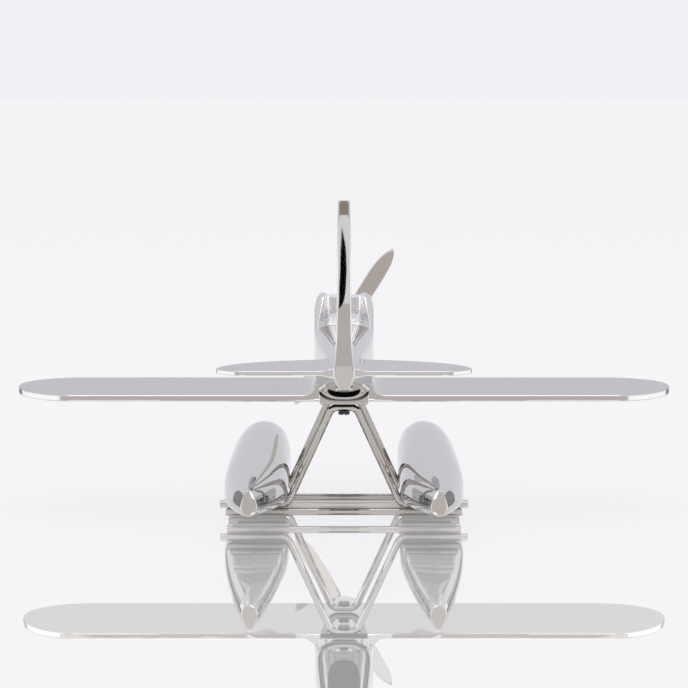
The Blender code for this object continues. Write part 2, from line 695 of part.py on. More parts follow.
def make_blade(name, angle, hub, spinner_room):
    """One blade of the propeller, leaf-shaped with a pointed tip."""
    direction = Vector((sin(angle), 0, cos(angle)))
    across = Vector((cos(angle), 0, -sin(angle)))
    bm = bmesh.new()
    skin(bm, [blade_ring(row, direction, across) for row in BLADE_TABLE])
    blade = add_object(name, bm, CHROME, parent=hub, sharp=40)
    boolean(blade, spinner_room, "DIFFERENCE")
    return blade


def make_propeller():
    """Shaft, spinner and two blades; all but the shaft turn about the thrust line."""
    shaft = [
        (SHAFT_REAR_Y, SHAFT_RADIUS), (SHAFT_FRONT_Y, SHAFT_RADIUS),
    ]
    add_object("propeller_shaft", turned(shaft, SHAFT_SIDES), BRIGHT_STEEL)
    hub = bpy.data.objects.new("propeller_hub", None)
    hub.location = (0, BLADE_PLANE_Y, THRUST_Z)
    bpy.context.scene.collection.objects.link(hub)
    bpy.context.view_layer.update()
    spinner_room = make_spinner(hub)
    for number in (1, 2):
        make_blade(f"propeller_blade_{number}", BLADE_ANGLE + pi * (number - 1), hub, spinner_room)


def main():
    """Build the whole model."""
    clear_scene()
    make_fuselage()
    body_room = add_object("fuselage_room", body_solid(TAIL_CONE_END_Y, NOSE_END_Y, GAP))
    fitted = [make_wing(), make_fin(), make_saddle()]
    for side, place in ((-1, "left"), (1, "right")):
        fitted.append(make_tailplane(side, f"tailplane_{place}"))
    for item in fitted:
        boolean(item, body_room, "DIFFERENCE")
    cutters = make_undercarriage()
    for side, place in ((-1, "left"), (1, "right")):
        make_float(side, f"float_{place}", cutters)
    for place, y in (("front", FRONT_STRUT_Y), ("rear", REAR_STRUT_Y)):
        make_screw(f"screw_{place}", y)
    make_propeller()


main()
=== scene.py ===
"""Looks of a polished metal desk model of a racing floatplane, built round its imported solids.

Metres, +Y is the nose, +X the right wing, +Z up, and the origin is on the table under the model.
Each casting is a surface worked out with numpy on a grid of two parameters, then put into a mesh.
Shapes are worked out in millimetres, as on a drawing, and their meshes and the studio are in metres.
"""

import bmesh
import bpy
import numpy as np
from bpy.props import FloatProperty, FloatVectorProperty, PointerProperty
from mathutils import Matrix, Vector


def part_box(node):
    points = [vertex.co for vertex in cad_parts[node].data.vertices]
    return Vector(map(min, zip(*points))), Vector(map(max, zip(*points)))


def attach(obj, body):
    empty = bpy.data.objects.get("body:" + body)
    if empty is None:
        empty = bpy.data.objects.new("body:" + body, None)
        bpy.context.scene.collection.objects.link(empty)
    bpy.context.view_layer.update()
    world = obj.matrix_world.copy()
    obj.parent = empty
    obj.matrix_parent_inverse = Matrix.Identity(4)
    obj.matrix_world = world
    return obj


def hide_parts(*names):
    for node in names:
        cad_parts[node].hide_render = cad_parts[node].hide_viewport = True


bl_info = {
    "name": "Desk Floatplane",
    "version": (1, 0, 0),
    "blender": (4, 5, 0),
    "location": "3D View > Sidebar > Floatplane",
    "description": "Builds the polished castings, rods and studio of a desk model of a floatplane",
    "category": "Object",
}

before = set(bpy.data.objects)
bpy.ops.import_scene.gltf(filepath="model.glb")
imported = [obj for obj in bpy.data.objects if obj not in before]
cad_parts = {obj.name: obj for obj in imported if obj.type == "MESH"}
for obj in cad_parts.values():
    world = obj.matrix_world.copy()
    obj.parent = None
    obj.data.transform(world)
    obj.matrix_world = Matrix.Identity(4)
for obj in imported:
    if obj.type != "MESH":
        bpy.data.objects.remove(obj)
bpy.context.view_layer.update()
MM = 0.001


def edge(node, side, axis):
    """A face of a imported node's box in millimetres: side 0 is the lower one, axis 0 to 2 is x to z."""
    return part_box(node)[side][axis] / MM


def middle(node, axis):
    """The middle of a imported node's box in millimetres."""
    return (edge(node, 0, axis) + edge(node, 1, axis)) / 2


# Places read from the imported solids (mm)
WING_HALF = edge("wing", 1, 0)
WING_TE_Y, WING_LE_Y = edge("wing", 0, 1), edge("wing", 1, 1)
WING_BOTTOM_Z = edge("wing", 0, 2)
TAIL_HALF = edge("tailplane_right", 1, 0)
TAIL_TE_Y = edge("tailplane_right", 0, 1)
FIN_REAR_Y = edge("fin", 0, 1)
BODY_FRONT_Y = edge("fuselage", 1, 1)
FLOAT_X = middle("float_right", 0)
STERN_Y = edge("float_right", 0, 1)
ROD_RADIUS = (edge("spreader_front", 1, 2) - edge("spreader_front", 0, 2)) / 2
SPREADER_HALF = edge("spreader_front", 1, 0)
FOOT_END_X = edge("strut_front", 1, 0)
THRUST_Z = middle("spinner", 2)
SPINNER_BASE_Y, SPINNER_TIP_Y = edge("spinner", 0, 1), edge("spinner", 1, 1)
SHAFT_REAR_Y, SHAFT_FRONT_Y = edge("propeller_shaft", 0, 1), edge("propeller_shaft", 1, 1)
SHAFT_RADIUS = edge("propeller_shaft", 1, 0)
BLADE_PLANE_Y = middle("propeller_blade_1", 1)
SADDLE_HALF = edge("saddle", 1, 0)
SADDLE_REAR_Y, SADDLE_FRONT_Y = edge("saddle", 0, 1), edge("saddle", 1, 1)
SADDLE_BOTTOM_Z, SADDLE_TOP_Z = edge("saddle", 0, 2), edge("saddle", 1, 2)
SCREW_RADIUS = edge("screw_rear", 1, 0)
SCREW_BOTTOM_Z, SCREW_TOP_Z = edge("screw_rear", 0, 2), edge("screw_rear", 1, 2)

GAP = 0.3                          # clearance between neighbouring castings
PLATE_SUPPORT = 1.35               # grid line that keeps a plate flat up to its round edge, in edge radii
EDGE_FACE_SHARES = (0.12, 0.5, 0.88)
SHARP_ANGLE = np.radians(35)

# Wing
WING_THICKNESS = 2.9
WING_TIP_ROUND = 29.0
WING_TIP_Y = 33.0                  # where the tip reaches furthest out
WING_SPINE_Y = 28.0
FILLET_INNER_X = 12.8
FILLET_WIDTH = 6.2
FILLET_HEIGHT = 5.4
FILLET_FADE = 12.0                 # length of its end towards the leading edge
FILLET_STOP = 0.6                  # how far short of the leading edge it ends

# Fuselage: y, half width, bottom, lower centre, upper centre, top, lower power, upper power, valley
BODY_TABLE = (
    (-125, 4.2, 78.2, 82.4, 84.0, 86.6, 2.2, 2.2, 0.0),
    (-95, 6.5, 72.95, 79.5, 84.2, 86.9, 2.3, 2.2, 0.0),
    (-60, 9.2, 66.5, 75.5, 82.0, 87.2, 2.5, 2.3, 0.0),
    (-45, 10.35, 63.6, 73.6, 81.4, 87.25, 2.62, 2.34, 0.0),
    (-25, 11.8, 58.9, 71.0, 80.5, 87.3, 2.8, 2.4, 0.0),
    (-8, 12.8, 55.3, 69.0, 80.0, 87.3, 3.0, 2.5, 0.0),
    (6, 13.3, 55.0, 68.5, 80.5, 87.6, 3.0, 2.8, 0.1),
    (14, 13.4, 55.0, 68.5, 83.5, 93.2, 3.0, 3.6, 1.0),
    (22, 13.5, 55.0, 68.5, 86.0, 99.6, 3.0, 4.5, 1.9),
    (30, 13.5, 55.0, 68.5, 86.0, 99.9, 3.0, 4.5, 2.2),
    (58, 13.4, 55.0, 68.5, 84.5, 96.4, 3.0, 4.2, 2.1),
    (80, 12.6, 56.4, 69.0, 82.0, 92.3, 2.8, 3.6, 1.8),
    (97, 10.9, 59.8, 70.5, 77.6, 87.2, 2.4, 2.8, 1.0),
    (108, 8.7, 63.3, 71.8, 74.0, 82.0, 2.1, 2.2, 0.2),
    (112, 7.7, 64.6, 72.2, 72.6, 80.0, 2.0, 2.0, 0.0),
)
VALLEY_EDGE = (0.50, 0.77)         # where the valley is full depth and where it ends, of the half width
NOSE_EDGE = 0.7
SHAFT_BORE = 1.55

# Cockpit scoop: y and half width at its rear and front, and the round between floor and walls
SCOOP_REAR = (5.0, 12.4)
SCOOP_FRONT = (27.0, 7.8)
SCOOP_FLOOR_Z = 82.0
SCOOP_ROUND = 1.2
SCOOP_ROUND_LIMIT = 0.998          # the most of a corner's round that a row uses up
SCOOP_LEAST_WALL = 0.2
SCOOP_END_MARGIN = 0.06            # rows this near its ends still follow its rim
# Where its rim's grid line runs on behind and ahead of it, as a share of the half width
SCOOP_RIM_SHARES = (0.722, 0.370)
# Grid lines outside its rim: the most mm out, and the largest share of the room there
SCOOP_RIM_LINES = ((1.2, 0.5), (0.4, 0.2), (0.12, 0.08))
# Grid lines just under its rim: the most mm down, and the largest share of the wall's height
SCOOP_LIP_LINES = ((0.12, 0.1), (0.45, 0.25))
SCOOP_WALL_SHARES = (0.35, 0.7, 1.0)
# Rows where its end walls rise: mm beyond the wall, and height from 0 at the floor to 1 on the skin
SCOOP_END_RISE = ((0.01, 0.25), (0.02, 0.6), (0.03, 0.9), (0.04, 0.97))
# How far its painted sheen (a lighter, partly matt colour, with more roughness) reaches past its rim, at the
# sides and at the ends, and its soft edge
SCOOP_PAINTED_SHEEN_REACH = (0.3, 0.2)
SCOOP_PAINTED_SHEEN_EDGE = 0.02

# Painted dark reflection under the belly, a matt black crescent that stands in for something dark reflected
# there: y of its middle, and how far it reaches across and along
BELLY_DARK_REFLECTION = (-41.5, (7.1, 17.5))
BELLY_DARK_REFLECTION_EDGE = (0.85, 1.15)    # where it starts and ends to fade out, in its own reach
BELLY_DARK_REFLECTION_TOP = (73.0, 75.0)     # heights between which it fades out

# Fin: z, width of the rear face, y of the leading edge
FIN_TABLE = (
    (78.0, 3.4, -125.2),
    (78.2, 4.2, -125.2),
    (78.8, 4.8, -125.2),
    (80.2, 6.0, -125.2),
    (81.4, 7.0, -125.2),
    (83.4, 8.3, -86.0),
    (86.0, 8.4, -85.5),
    (88.5, 7.8, -87.0),
    (93.8, 6.7, -89.5),
    (101.6, 5.9, -93.0),
    (116.0, 5.6, -97.5),
    (131.0, 5.3, -102.5),
    (141.0, 5.1, -107.0),
    (147.5, 4.8, -112.5),
    (150.6, 4.7, -117.5),
    (151.3, 4.55, -121.0),
    (151.5, 4.2, -123.0),
)
FIN_SIDE_POWER = 2.6

# Tailplane
TAIL_ROOT_X = 3.0
TAIL_ROOT_LE_Y = -89.0
TAIL_TIP_LE_Y = -106.6
TAIL_BOTTOM_Z = 82.6
TAIL_THICKNESS = 1.8
TAIL_TIP_ROUND = 12.0
TAIL_SWELL = 0.95
TAIL_SWELL_X = (4.8, 9.5)          # where the root's swelling starts to die away and where it ends

# Floats: y, half width, crown, shoulder, keel, rise of the chine, corner width, corner height, power
FLOAT_TABLE = (
    (-85, 3.4, 30.0, 22.6, 18.4, 0.0, 3.2, 4.0, 1.45),
    (-80, 4.7, 30.1, 21.8, 17.0, 0.2, 3.7, 4.0, 1.6),
    (-62, 8.4, 30.2, 19.4, 14.4, 0.8, 3.4, 3.4, 1.8),
    (-38, 11.9, 30.2, 17.4, 11.8, 0.6, 3.0, 3.0, 1.95),
    (-16, 13.8, 30.2, 16.2, 10.0, 0.2, 2.4, 2.4, 2.2),
    (-5, 14.2, 30.2, 16.0, 9.4, 0.0, 2.0, 2.2, 2.3),
    (15.9, 14.2, 30.2, 15.8, 6.4, 0.0, 2.0, 2.0, 2.4),
    (16.1, 14.2, 30.2, 15.8, 0.0, 0.0, 1.2, 1.2, 2.4),
    (60, 13.9, 30.2, 15.8, 0.0, 0.0, 1.2, 1.2, 2.2),
    (82, 13.2, 29.8, 15.8, 0.4, 0.2, 1.6, 1.6, 2.0),
    (100, 11.7, 27.9, 16.0, 2.8, 0.8, 2.8, 2.4, 2.0),
    (114, 8.9, 25.2, 16.8, 6.8, 1.3, 3.4, 3.0, 2.0),
    (124, 5.2, 22.4, 17.6, 11.6, 0.9, 3.2, 2.8, 2.0),
    (129, 2.2, 20.4, 18.0, 15.2, 0.2, 1.8, 1.6, 2.0),
)
STERN_RIM = 0.3
STERN_CREASE = 0.03                # how far the middle of the stern's face stands behind its rim
STERN_SHARES = (0.97, 0.5, 0.0)    # grid lines on the stern's face, from its rim to its middle
BOW_DOME = 1.2

# Rods
STRUT_TOP_X = 5.44                 # corner of the bent top, before it is rounded
STRUT_SPREAD = 0.455               # how far a leg goes out for each unit that it goes down
STRUT_BENDS = (4.5, 4.0, 4.0, 4.5)
STRUT_STEPS = 14                   # points along each bend
ROD_END_ROUND = 0.35
GROOVE_HALF = 1.9
GROOVE_FLOOR_Z = -2.0
GROOVE_OVERRUN = 5.0

# Saddle and screws
SADDLE_ROUND = 1.2
SADDLE_ROUND_STEPS = 8
SADDLE_SPINE_INSET = 1.5
SADDLE_SPINE_RISE = 1.0
# Painted shade under its hollow edge, where it meets the belly: depths where it fades, its share in the
# middle and more at the sides
SADDLE_SHADE_DEPTH = (0.55, 0.95)
SADDLE_SHADE_SHARE = (0.55, 0.6)
SADDLE_UNDER_SHADE_EDGE = (0.1, 0.25)    # heights over its under side between which the painted shade there ends
SCREW_EDGE = 0.3
SCREW_SLOT = (0.7, 0.45)           # width and depth

# Propeller: distance ahead of the base, radius
SPINNER_PROFILE = (
    (0.0, 6.7), (0.5, 7.35), (3.0, 7.7), (6.0, 7.4), (9.0, 6.6), (12.0, 5.3), (15.0, 3.6), (17.2, 1.7),
    (18.2, 0.0),
)
SPINNER_BORE = (1.6, 8.0)          # radius and depth
SPINNER_EDGE = 0.3
SHAFT_EDGE = 0.2
BLADE_ANGLE = np.radians(31.5)
BLADE_FRONT_POWER = 1.6
BLADE_REAR_POWER = 0.15
BLADE_REAR = 0.5                   # how far the rear face stands back, as a share of the front
# Blade: radius, chord, thickness, offset of the mid chord, pitch in degrees
BLADE_TABLE = (
    (4.0, 4.7, 2.6, 0.0, 14),
    (10.0, 6.6, 2.4, 0.0, 14.5),
    (17.0, 8.1, 2.0, 0.0, 15.5),
    (24.0, 8.6, 1.7, 0.0, 16.5),
    (31.0, 8.6, 1.45, 0.0, 17.5),
    (37.5, 7.6, 1.2, 0.2, 18.5),
    (41.5, 5.6, 1.0, 0.45, 19),
    (44.0, 3.4, 0.85, 0.55, 19),
    (45.6, 1.5, 0.7, 0.5, 17),
    (46.2, 0.3, 0.5, 0.45, 17),
)

# What the metals reflect near grazing angles, as a share of their plain curve
EDGE_TINT = (0.735, 0.735, 0.745)
ROUND_EDGE_TINT = (0.80, 0.80, 0.815)
ROD_EDGE_TINT = (0.06, 0.05, 0.045)

# Patterns of the polished metal; scales are in lumps a metre
DULL_SHARE = 0.93                  # darkest clouds, as a share of the tint
CLOUD_SCALE = 45.0
BUFFING_SCALE = (700.0, 60.0, 700.0)
HAZE_SCALE = 160.0
CASTING_HAZE = 0.01                # the most that buffing adds to the roughness
ROD_HAZE = 0.02
RIPPLE_SCALE = 60.0
RIPPLE_DEPTH = 0.6 * MM

# Patches of painted light and shade: a painted sheen in the scoop, a painted dark reflection under the belly
# and painted shade on the saddle; colour, what they add to the roughness and how matt they are
# Painted sheen: a lighter, partly matt colour inside the scoop, with more roughness
SCOOP_PAINTED_SHEEN = ((0.95, 0.95, 0.96), 0.08, 0.22)
# Painted dark reflection: a matt black crescent under the belly
BELLY_PAINTED_REFLECTION = ((0.004, 0.004, 0.004), 0.0, 1.0)
# Painted shade: dark brown under the saddle's hollow edge and along its under side
SADDLE_PAINTED_SHADE = ((0.06, 0.034, 0.022), 0.0, 1.0)

# Dark screws: worn places as a multiple of the tint, their scale, least roughness and what wear adds
SCREW_WEAR = (2.2, 900.0)
SCREW_ROUGHNESS = (0.28, 0.2)

# Glossy floor: least roughness, what the slow waves add to it, their scale, and its matt white
FLOOR_ROUGHNESS = (0.004, 0.006)
FLOOR_WAVE_SCALE = 3.0
FLOOR_MATT = 0.25
FLOOR_MATT_ROUGHNESS = 0.9


# Arrays


def ease(start, end, value):
    """Smooth step: 3s^2 - 2s^3 of the share s of the way from start to end, held at 0 and 1."""
    s = np.clip((value - start) / (end - start), 0, 1)
    return s * s * (3 - 2 * s)


def stations(*knots):
    """Places through (place, steps to the next place) knots, evenly spaced between two knots."""
    runs = [np.linspace(a, b, steps, endpoint=False) for (a, steps), (b, _) in zip(knots, knots[1:])]
    return np.concatenate([*runs, [knots[-1][0]]])


def quarter(steps):
    """Angles of a quarter turn from 0 to 90 degrees, in radians."""
    return np.linspace(0, np.pi / 2, steps + 1)


def follow(table, place):
    """Rows of a table at any places along its first column.

    Each value follows a cubic between two rows; its slope at a row is the harmonic mean of the slopes
    on both sides, or none where they differ in sign, so the curve never swings past its rows.
    """
    table = np.array(table, float)
    at_rows, values = table[:, 0], table[:, 1:]
    width = np.diff(at_rows)[:, None]
    rise = np.diff(values, axis=0) / width
    product = rise[:-1] * rise[1:]
    total = rise[:-1] + rise[1:]
    inner = np.where(product > 0, 2 * product / np.where(total == 0, 1, total), 0)
    slope = np.vstack([rise[:1], inner, rise[-1:]])
    at = np.clip(np.searchsorted(at_rows, place, side="right") - 1, 0, len(at_rows) - 2)
    w = width[at]
    s = np.clip((np.asarray(place) - at_rows[at])[:, None] / w, 0, 1)
    start = values[at] * (1 + 2 * s) * (1 - s) ** 2 + slope[at] * w * s * (1 - s) ** 2
    end = values[at + 1] * (3 - 2 * s) * s ** 2 + slope[at + 1] * w * (s - 1) * s ** 2
    return start + end


def columns_of(table, place):
    """The table's columns at the places, each as a column vector that spreads over a row of a grid."""
    return [column[:, None] for column in follow(table, place).T]


def spline_weights(count, steps, closed=False):
    """Weights that turn coarse points into fine ones along a uniform cubic B-spline.

    With u the share of the way between two points, the four weights are (1-u)^3, 3u^3-6u^2+4,
    -3u^3+3u^2+3u+1 and u^3, over 6.  An open row starts and ends on its own end points, because the
    points beyond them are mirrored; a closed one wraps round.
    """
    spans = count if closed else count - 1
    place = np.arange(spans * steps + (not closed)) / steps
    first = np.minimum(place.astype(int), spans - 1)
    u = place - first
    shares = ((1 - u) ** 3, 3 * u ** 3 - 6 * u ** 2 + 4, -3 * u ** 3 + 3 * u ** 2 + 3 * u + 1, u ** 3)
    weights = np.zeros((len(place), count + 3))
    for k, share in enumerate(shares):
        weights[np.arange(len(place)), first + k] += share / 6
    fine = weights[:, 1:count + 1].copy()
    if closed:
        fine[:, -1] += weights[:, 0]
        fine[:, 0] += weights[:, count + 1]
        fine[:, 1] += weights[:, count + 2]
        return fine
    fine[:, 0] += 2 * weights[:, 0]
    fine[:, 1] -= weights[:, 0]
    fine[:, -1] += 2 * weights[:, count + 1]
    fine[:, -2] -= weights[:, count + 1]
    return fine


def refine(net, row_steps, column_steps=1):
    """Finer grid of a net (rows, columns, 3) by cubic B-splines; its columns run round in a ring."""
    fine = np.einsum("ia,abk->ibk", spline_weights(len(net), row_steps), net)
    if column_steps > 1:
        fine = np.einsum("jb,abk->ajk", spline_weights(net.shape[1], column_steps, closed=True), fine)
    return fine


def grid(x, y, z):
    """Points of a grid from three arrays that spread over each other."""
    return np.stack(np.broadcast_arrays(x, y, z), axis=-1).astype(float)


def both_sides(half_ring):
    """Whole rings from half rings that run from one point on the centre line to another."""
    mirrored = half_ring[:, -2:0:-1] * (-1, 1, 1)
    return np.concatenate([half_ring, mirrored], axis=1)


def polar_radius(angle, power):
    """Radius of a unit superellipse at a polar angle: (|cos|^p + |sin|^p)^(-1/p)."""
    return (np.abs(np.cos(angle)) ** power + np.abs(np.sin(angle)) ** power) ** (-1 / power)


def bend_path(corners, bends, steps):
    """A path through flat corners, with each inner corner rounded to an arc of its bend radius.

    The arc's centre lies on the corner's bisector at radius / sin(half angle), and the arc runs between
    the two feet at radius / tan(half angle) from the corner.
    """
    corners = np.array(corners, float)
    path = [corners[:1]]
    for k, radius in enumerate(bends, 1):
        back, ahead = corners[k - 1] - corners[k], corners[k + 1] - corners[k]
        back, ahead = back / np.linalg.norm(back), ahead / np.linalg.norm(ahead)
        half = np.arccos(np.clip(back @ ahead, -1, 1)) / 2
        bisector = (back + ahead) / np.linalg.norm(back + ahead)
        centre = corners[k] + bisector * radius / np.sin(half)
        first = corners[k] + back * radius / np.tan(half) - centre
        last = corners[k] + ahead * radius / np.tan(half) - centre
        sweep = np.pi - 2 * half
        turn = np.linspace(0, sweep, steps + 1)[:, None]
        path.append(centre + (first * np.sin(sweep - turn) + last * np.sin(turn)) / np.sin(sweep))
    path.append(corners[-1:])
    return np.concatenate(path)


# Shells: each is its points and its faces


def shell(rings, caps=True):
    """Faces over a grid of closed rings, with a flat face over each end where they are capped."""
    rows, columns = rings.shape[:2]
    row, column = np.meshgrid(np.arange(rows - 1), np.arange(columns), indexing="ij")
    start, after = row * columns, (column + 1) % columns
    corners = (start + column, start + after, start + columns + after, start + columns + column)
    faces = np.stack(corners, axis=-1).reshape(-1, 4).tolist()
    if caps:
        faces.append(list(range(columns)))
        faces.append(list(range((rows - 1) * columns, rows * columns)))
    return rings.reshape(-1, 3), faces


def plate(outline, spine, bottom, top, round_edge):
    """A plate with rounded edges, as rings from its upper spine over the edge to its lower spine.

    Outline and spine are (count, 2) points that belong together.  A ring stands an inset inside the
    outline along its plan normals.  Over the edge the inset is r(1 - sin a) and the drop from the face
    r(1 - cos a); bottom and top are functions of the plan place that give the heights of the faces.
    """
    along = np.roll(outline, -1, axis=0) - np.roll(outline, 1, axis=0)
    along /= np.linalg.norm(along, axis=1)[:, None]
    inward = np.stack([-along[:, 1], along[:, 0]], axis=-1)
    turn = quarter(6)
    inset = round_edge * (1 - np.sin(turn))
    drop = round_edge * (1 - np.cos(turn))
    share = np.linspace(0, 1, 17)[:, None, None]
    inner = spine + (outline + inward * round_edge * PLATE_SUPPORT - spine) * share
    over = outline + inward * inset[:, None, None]
    plan = np.concatenate([inner, over])
    fall = np.concatenate([np.zeros(len(share)), drop])[:, None]
    upper = grid(plan[..., 0], plan[..., 1], top(plan[..., 0], plan[..., 1]) - fall)
    lower = grid(plan[..., 0], plan[..., 1], bottom(plan[..., 0], plan[..., 1]) + fall)
    face = [upper[-1:] + (lower[-1:] - upper[-1:]) * down for down in EDGE_FACE_SHARES]
    return shell(np.concatenate([upper, *face, lower[::-1]]), caps=False)


def turned(profile, centre, axis, columns):
    """A shell turned about a line along Y (axis 1) or Z (axis 2) from (place, radius) points.

    A profile that starts and ends at radius 0 closes at two poles.
    """
    place, radius = (np.array(profile, float)[:, k, None] for k in (0, 1))
    turn = np.linspace(0, 2 * np.pi, columns, endpoint=False)
    if axis == 1:
        rings = grid(centre[0] + radius * np.cos(turn), place, centre[1] + radius * np.sin(turn))
    else:
        rings = grid(centre[0] + radius * np.cos(turn), centre[1] + radius * np.sin(turn), place)
    return shell(rings, caps=False)


def rod(path, y, radius, round_end, columns=48):
    """A round rod swept along flat (x, z) points, its ends rounded over.

    The ring at a point is point + radius(cos a * across + sin a * Y), with across at right angles to
    the path.  Over an end the ring moves in by r(1 - sin a) and narrows by r(1 - cos a).
    """
    path = np.array(path, float)
    along = np.gradient(path, axis=0)
    along /= np.linalg.norm(along, axis=1)[:, None]
    turn = quarter(5)
    back = round_end * (1 - np.cos(turn))[:, None]
    narrow = radius - round_end * (1 - np.sin(turn))
    first, last = path[0] + along[0] * back, path[-1] - along[-1] * back
    centres = np.concatenate([first, path[1:-1], last[::-1]])
    ends = len(turn)
    directions = np.concatenate([along[:1].repeat(ends, 0), along[1:-1], along[-1:].repeat(ends, 0)])
    radii = np.concatenate([narrow, np.full(len(path) - 2, radius), narrow[::-1]])[:, None]
    angle = np.linspace(0, 2 * np.pi, columns, endpoint=False)
    x = centres[:, :1] - directions[:, 1:] * radii * np.cos(angle)
    z = centres[:, 1:] + directions[:, :1] * radii * np.cos(angle)
    return shell(grid(x, y + radii * np.sin(angle), z))


def box_shell(low, high):
    """A plain box between two corners, for a cutter."""
    x, y, z = zip(low, high)
    ring = [(x[0], y[0]), (x[1], y[0]), (x[1], y[1]), (x[0], y[1])]
    return shell(np.array([[(a, b, height) for a, b in ring] for height in z], float))


# Meshes and pieces


def build_mesh(name, shells):
    """One mesh in metres from closed shells in millimetres, seams merged and faces outwards."""
    points, faces, offset = [], [], 0
    for shell_points, shell_faces in shells:
        points.append(shell_points * MM)
        faces += [[index + offset for index in face] for face in shell_faces]
        offset += len(shell_points)
    mesh = bpy.data.meshes.new(name)
    mesh.from_pydata(np.concatenate(points).tolist(), [], faces)
    bm = bmesh.new()
    bm.from_mesh(mesh)
    bmesh.ops.remove_doubles(bm, verts=bm.verts, dist=1e-6)
    bmesh.ops.recalc_face_normals(bm, faces=bm.faces)
    bm.to_mesh(mesh)
    bm.free()
    mesh.shade_smooth()
    mesh.set_sharp_from_angle(angle=SHARP_ANGLE)
    return mesh


def cut(mesh, cutter_shells):
    """The mesh less the cutter's solid, as a new mesh."""
    scene = bpy.context.scene
    item = bpy.data.objects.new(mesh.name, mesh)
    cutter = bpy.data.objects.new("cutter", build_mesh("cutter", cutter_shells))
    for thing in (item, cutter):
        scene.collection.objects.link(thing)
    modifier = item.modifiers.new("cut", "BOOLEAN")
    modifier.operation = "DIFFERENCE"
    modifier.solver = "EXACT"
    modifier.object = cutter
    graph = bpy.context.evaluated_depsgraph_get()
    result = bpy.data.meshes.new_from_object(item.evaluated_get(graph))
    for thing in (item, cutter):
        bpy.data.objects.remove(thing, do_unlink=True)
    result.shade_smooth()
    result.set_sharp_from_angle(angle=SHARP_ANGLE)
    return result


def add_piece(name, mesh, material, nodes, body="airframe"):
    """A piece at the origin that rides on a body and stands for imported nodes."""
    piece = bpy.data.objects.new(name, mesh)
    bpy.context.scene.collection.objects.link(piece)
    mesh.materials.clear()
    mesh.materials.append(material)
    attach(piece, body)
    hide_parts(*nodes)
    return piece


# Shader trees


class Socket:
    """An output of a shader tree that can be used in Python's arithmetic."""

    def __init__(self, tree, output):
        self.tree = tree
        self.output = output

    def _math(self, operation, first, second):
        return self.tree.add("ShaderNodeMath", {"operation": operation}, {0: first, 1: second})

    def __add__(self, other):
        return self._math("ADD", self, other)

    def __radd__(self, other):
        return self._math("ADD", other, self)

    def __sub__(self, other):
        return self._math("SUBTRACT", self, other)

    def __rsub__(self, other):
        return self._math("SUBTRACT", other, self)

    def __mul__(self, other):
        return self._math("MULTIPLY", self, other)

    def __rmul__(self, other):
        return self._math("MULTIPLY", other, self)

    def __pow__(self, other):
        return self._math("POWER", self, other)

    def __abs__(self):
        return self.tree.add("ShaderNodeMath", {"operation": "ABSOLUTE"}, {0: self})


class Tree:
    """A material's node tree, with one method that adds any node."""

    def __init__(self, name):
        self.material = bpy.data.materials.new(name)
        self.material.use_nodes = True
        self.nodes = self.material.node_tree.nodes
        self.links = self.material.node_tree.links
        self.nodes.clear()

    def add(self, kind, settings=None, inputs=None, output=0):
        """Add a node with its settings, fill its sockets with values or links, and give an output."""
        node = self.nodes.new(kind)
        for name, value in (settings or {}).items():
            setattr(node, name, value)
        for key, value in (inputs or {}).items():
            if isinstance(value, Socket):
                self.links.new(value.output, node.inputs[key])
            else:
                node.inputs[key].default_value = value
        return Socket(self, node.outputs[output] if len(node.outputs) else None)

    def noise(self, place, scale, detail=2.0):
        """A noise of 0 to 1 at a scale in lumps a metre."""
        inputs = {"Vector": place, "Scale": scale, "Detail": detail}
        return self.add("ShaderNodeTexNoise", None, inputs, "Fac")

    def blend(self, factor, first, second):
        """A colour between two colours."""
        return self.add("ShaderNodeMix", {"data_type": "RGBA"}, {0: factor, 6: first, 7: second}, 2)

    def axis(self, place, name):
        """One coordinate of a place in millimetres."""
        return self.add("ShaderNodeSeparateXYZ", None, {"Vector": place}, name) * (1 / MM)

    def fade(self, value, start, end):
        """A share that is 1 up to a start, 0 beyond an end and smooth between them."""
        inputs = {"Value": value, "From Min": start, "From Max": end, "To Min": 1.0, "To Max": 0.0}
        return self.add("ShaderNodeMapRange", {"interpolation_type": "SMOOTHSTEP"}, inputs)

    def finish(self, shader):
        """Join a shader to the material's output and give the material."""
        self.add("ShaderNodeOutputMaterial", None, {"Surface": shader})
        return self.material


def bright_metal(name, tint, roughness, haze, ripple, edge_tint, patches=()):
    """Hand-polished metal: soft clouds of tone, fine buffing lines and a slow ripple of the surface.

    Each patch paints light or shade into the metal. It has a function that gives its share from the tree and
    the place, and its look: colour, what it adds to the roughness and how matt it is.
    """
    tree = Tree(name)
    place = tree.add("ShaderNodeTexCoord", output="Object")
    dull = tuple(value * DULL_SHARE for value in tint)
    colour = tree.blend(tree.noise(place, CLOUD_SCALE, 3.0), (*dull, 1.0), (*tint, 1.0))
    along = tree.add("ShaderNodeMapping", None, {"Vector": place, "Scale": BUFFING_SCALE})
    rough = roughness + haze * (tree.noise(along, 1.0) * tree.noise(place, HAZE_SCALE, 4.0))
    metallic = 1.0
    # Painted light and shade: each patch blends in its colour, roughness and mattness
    for cover, (patch_colour, added, matt) in patches:
        share = cover(tree, place)
        colour = tree.blend(share, colour, (*patch_colour, 1.0))
        rough = rough + share * added
        metallic = metallic - share * matt
    height = tree.noise(place, RIPPLE_SCALE, 1.0)
    bump = tree.add("ShaderNodeBump", None, {"Strength": ripple, "Distance": RIPPLE_DEPTH, "Height": height})
    inputs = {
        "Base Color": colour, "Metallic": metallic, "Roughness": rough, "Normal": bump,
        "Specular Tint": (*edge_tint, 1.0), "Specular IOR Level": 0.0,
    }
    return tree.finish(tree.add("ShaderNodeBsdfPrincipled", None, inputs))


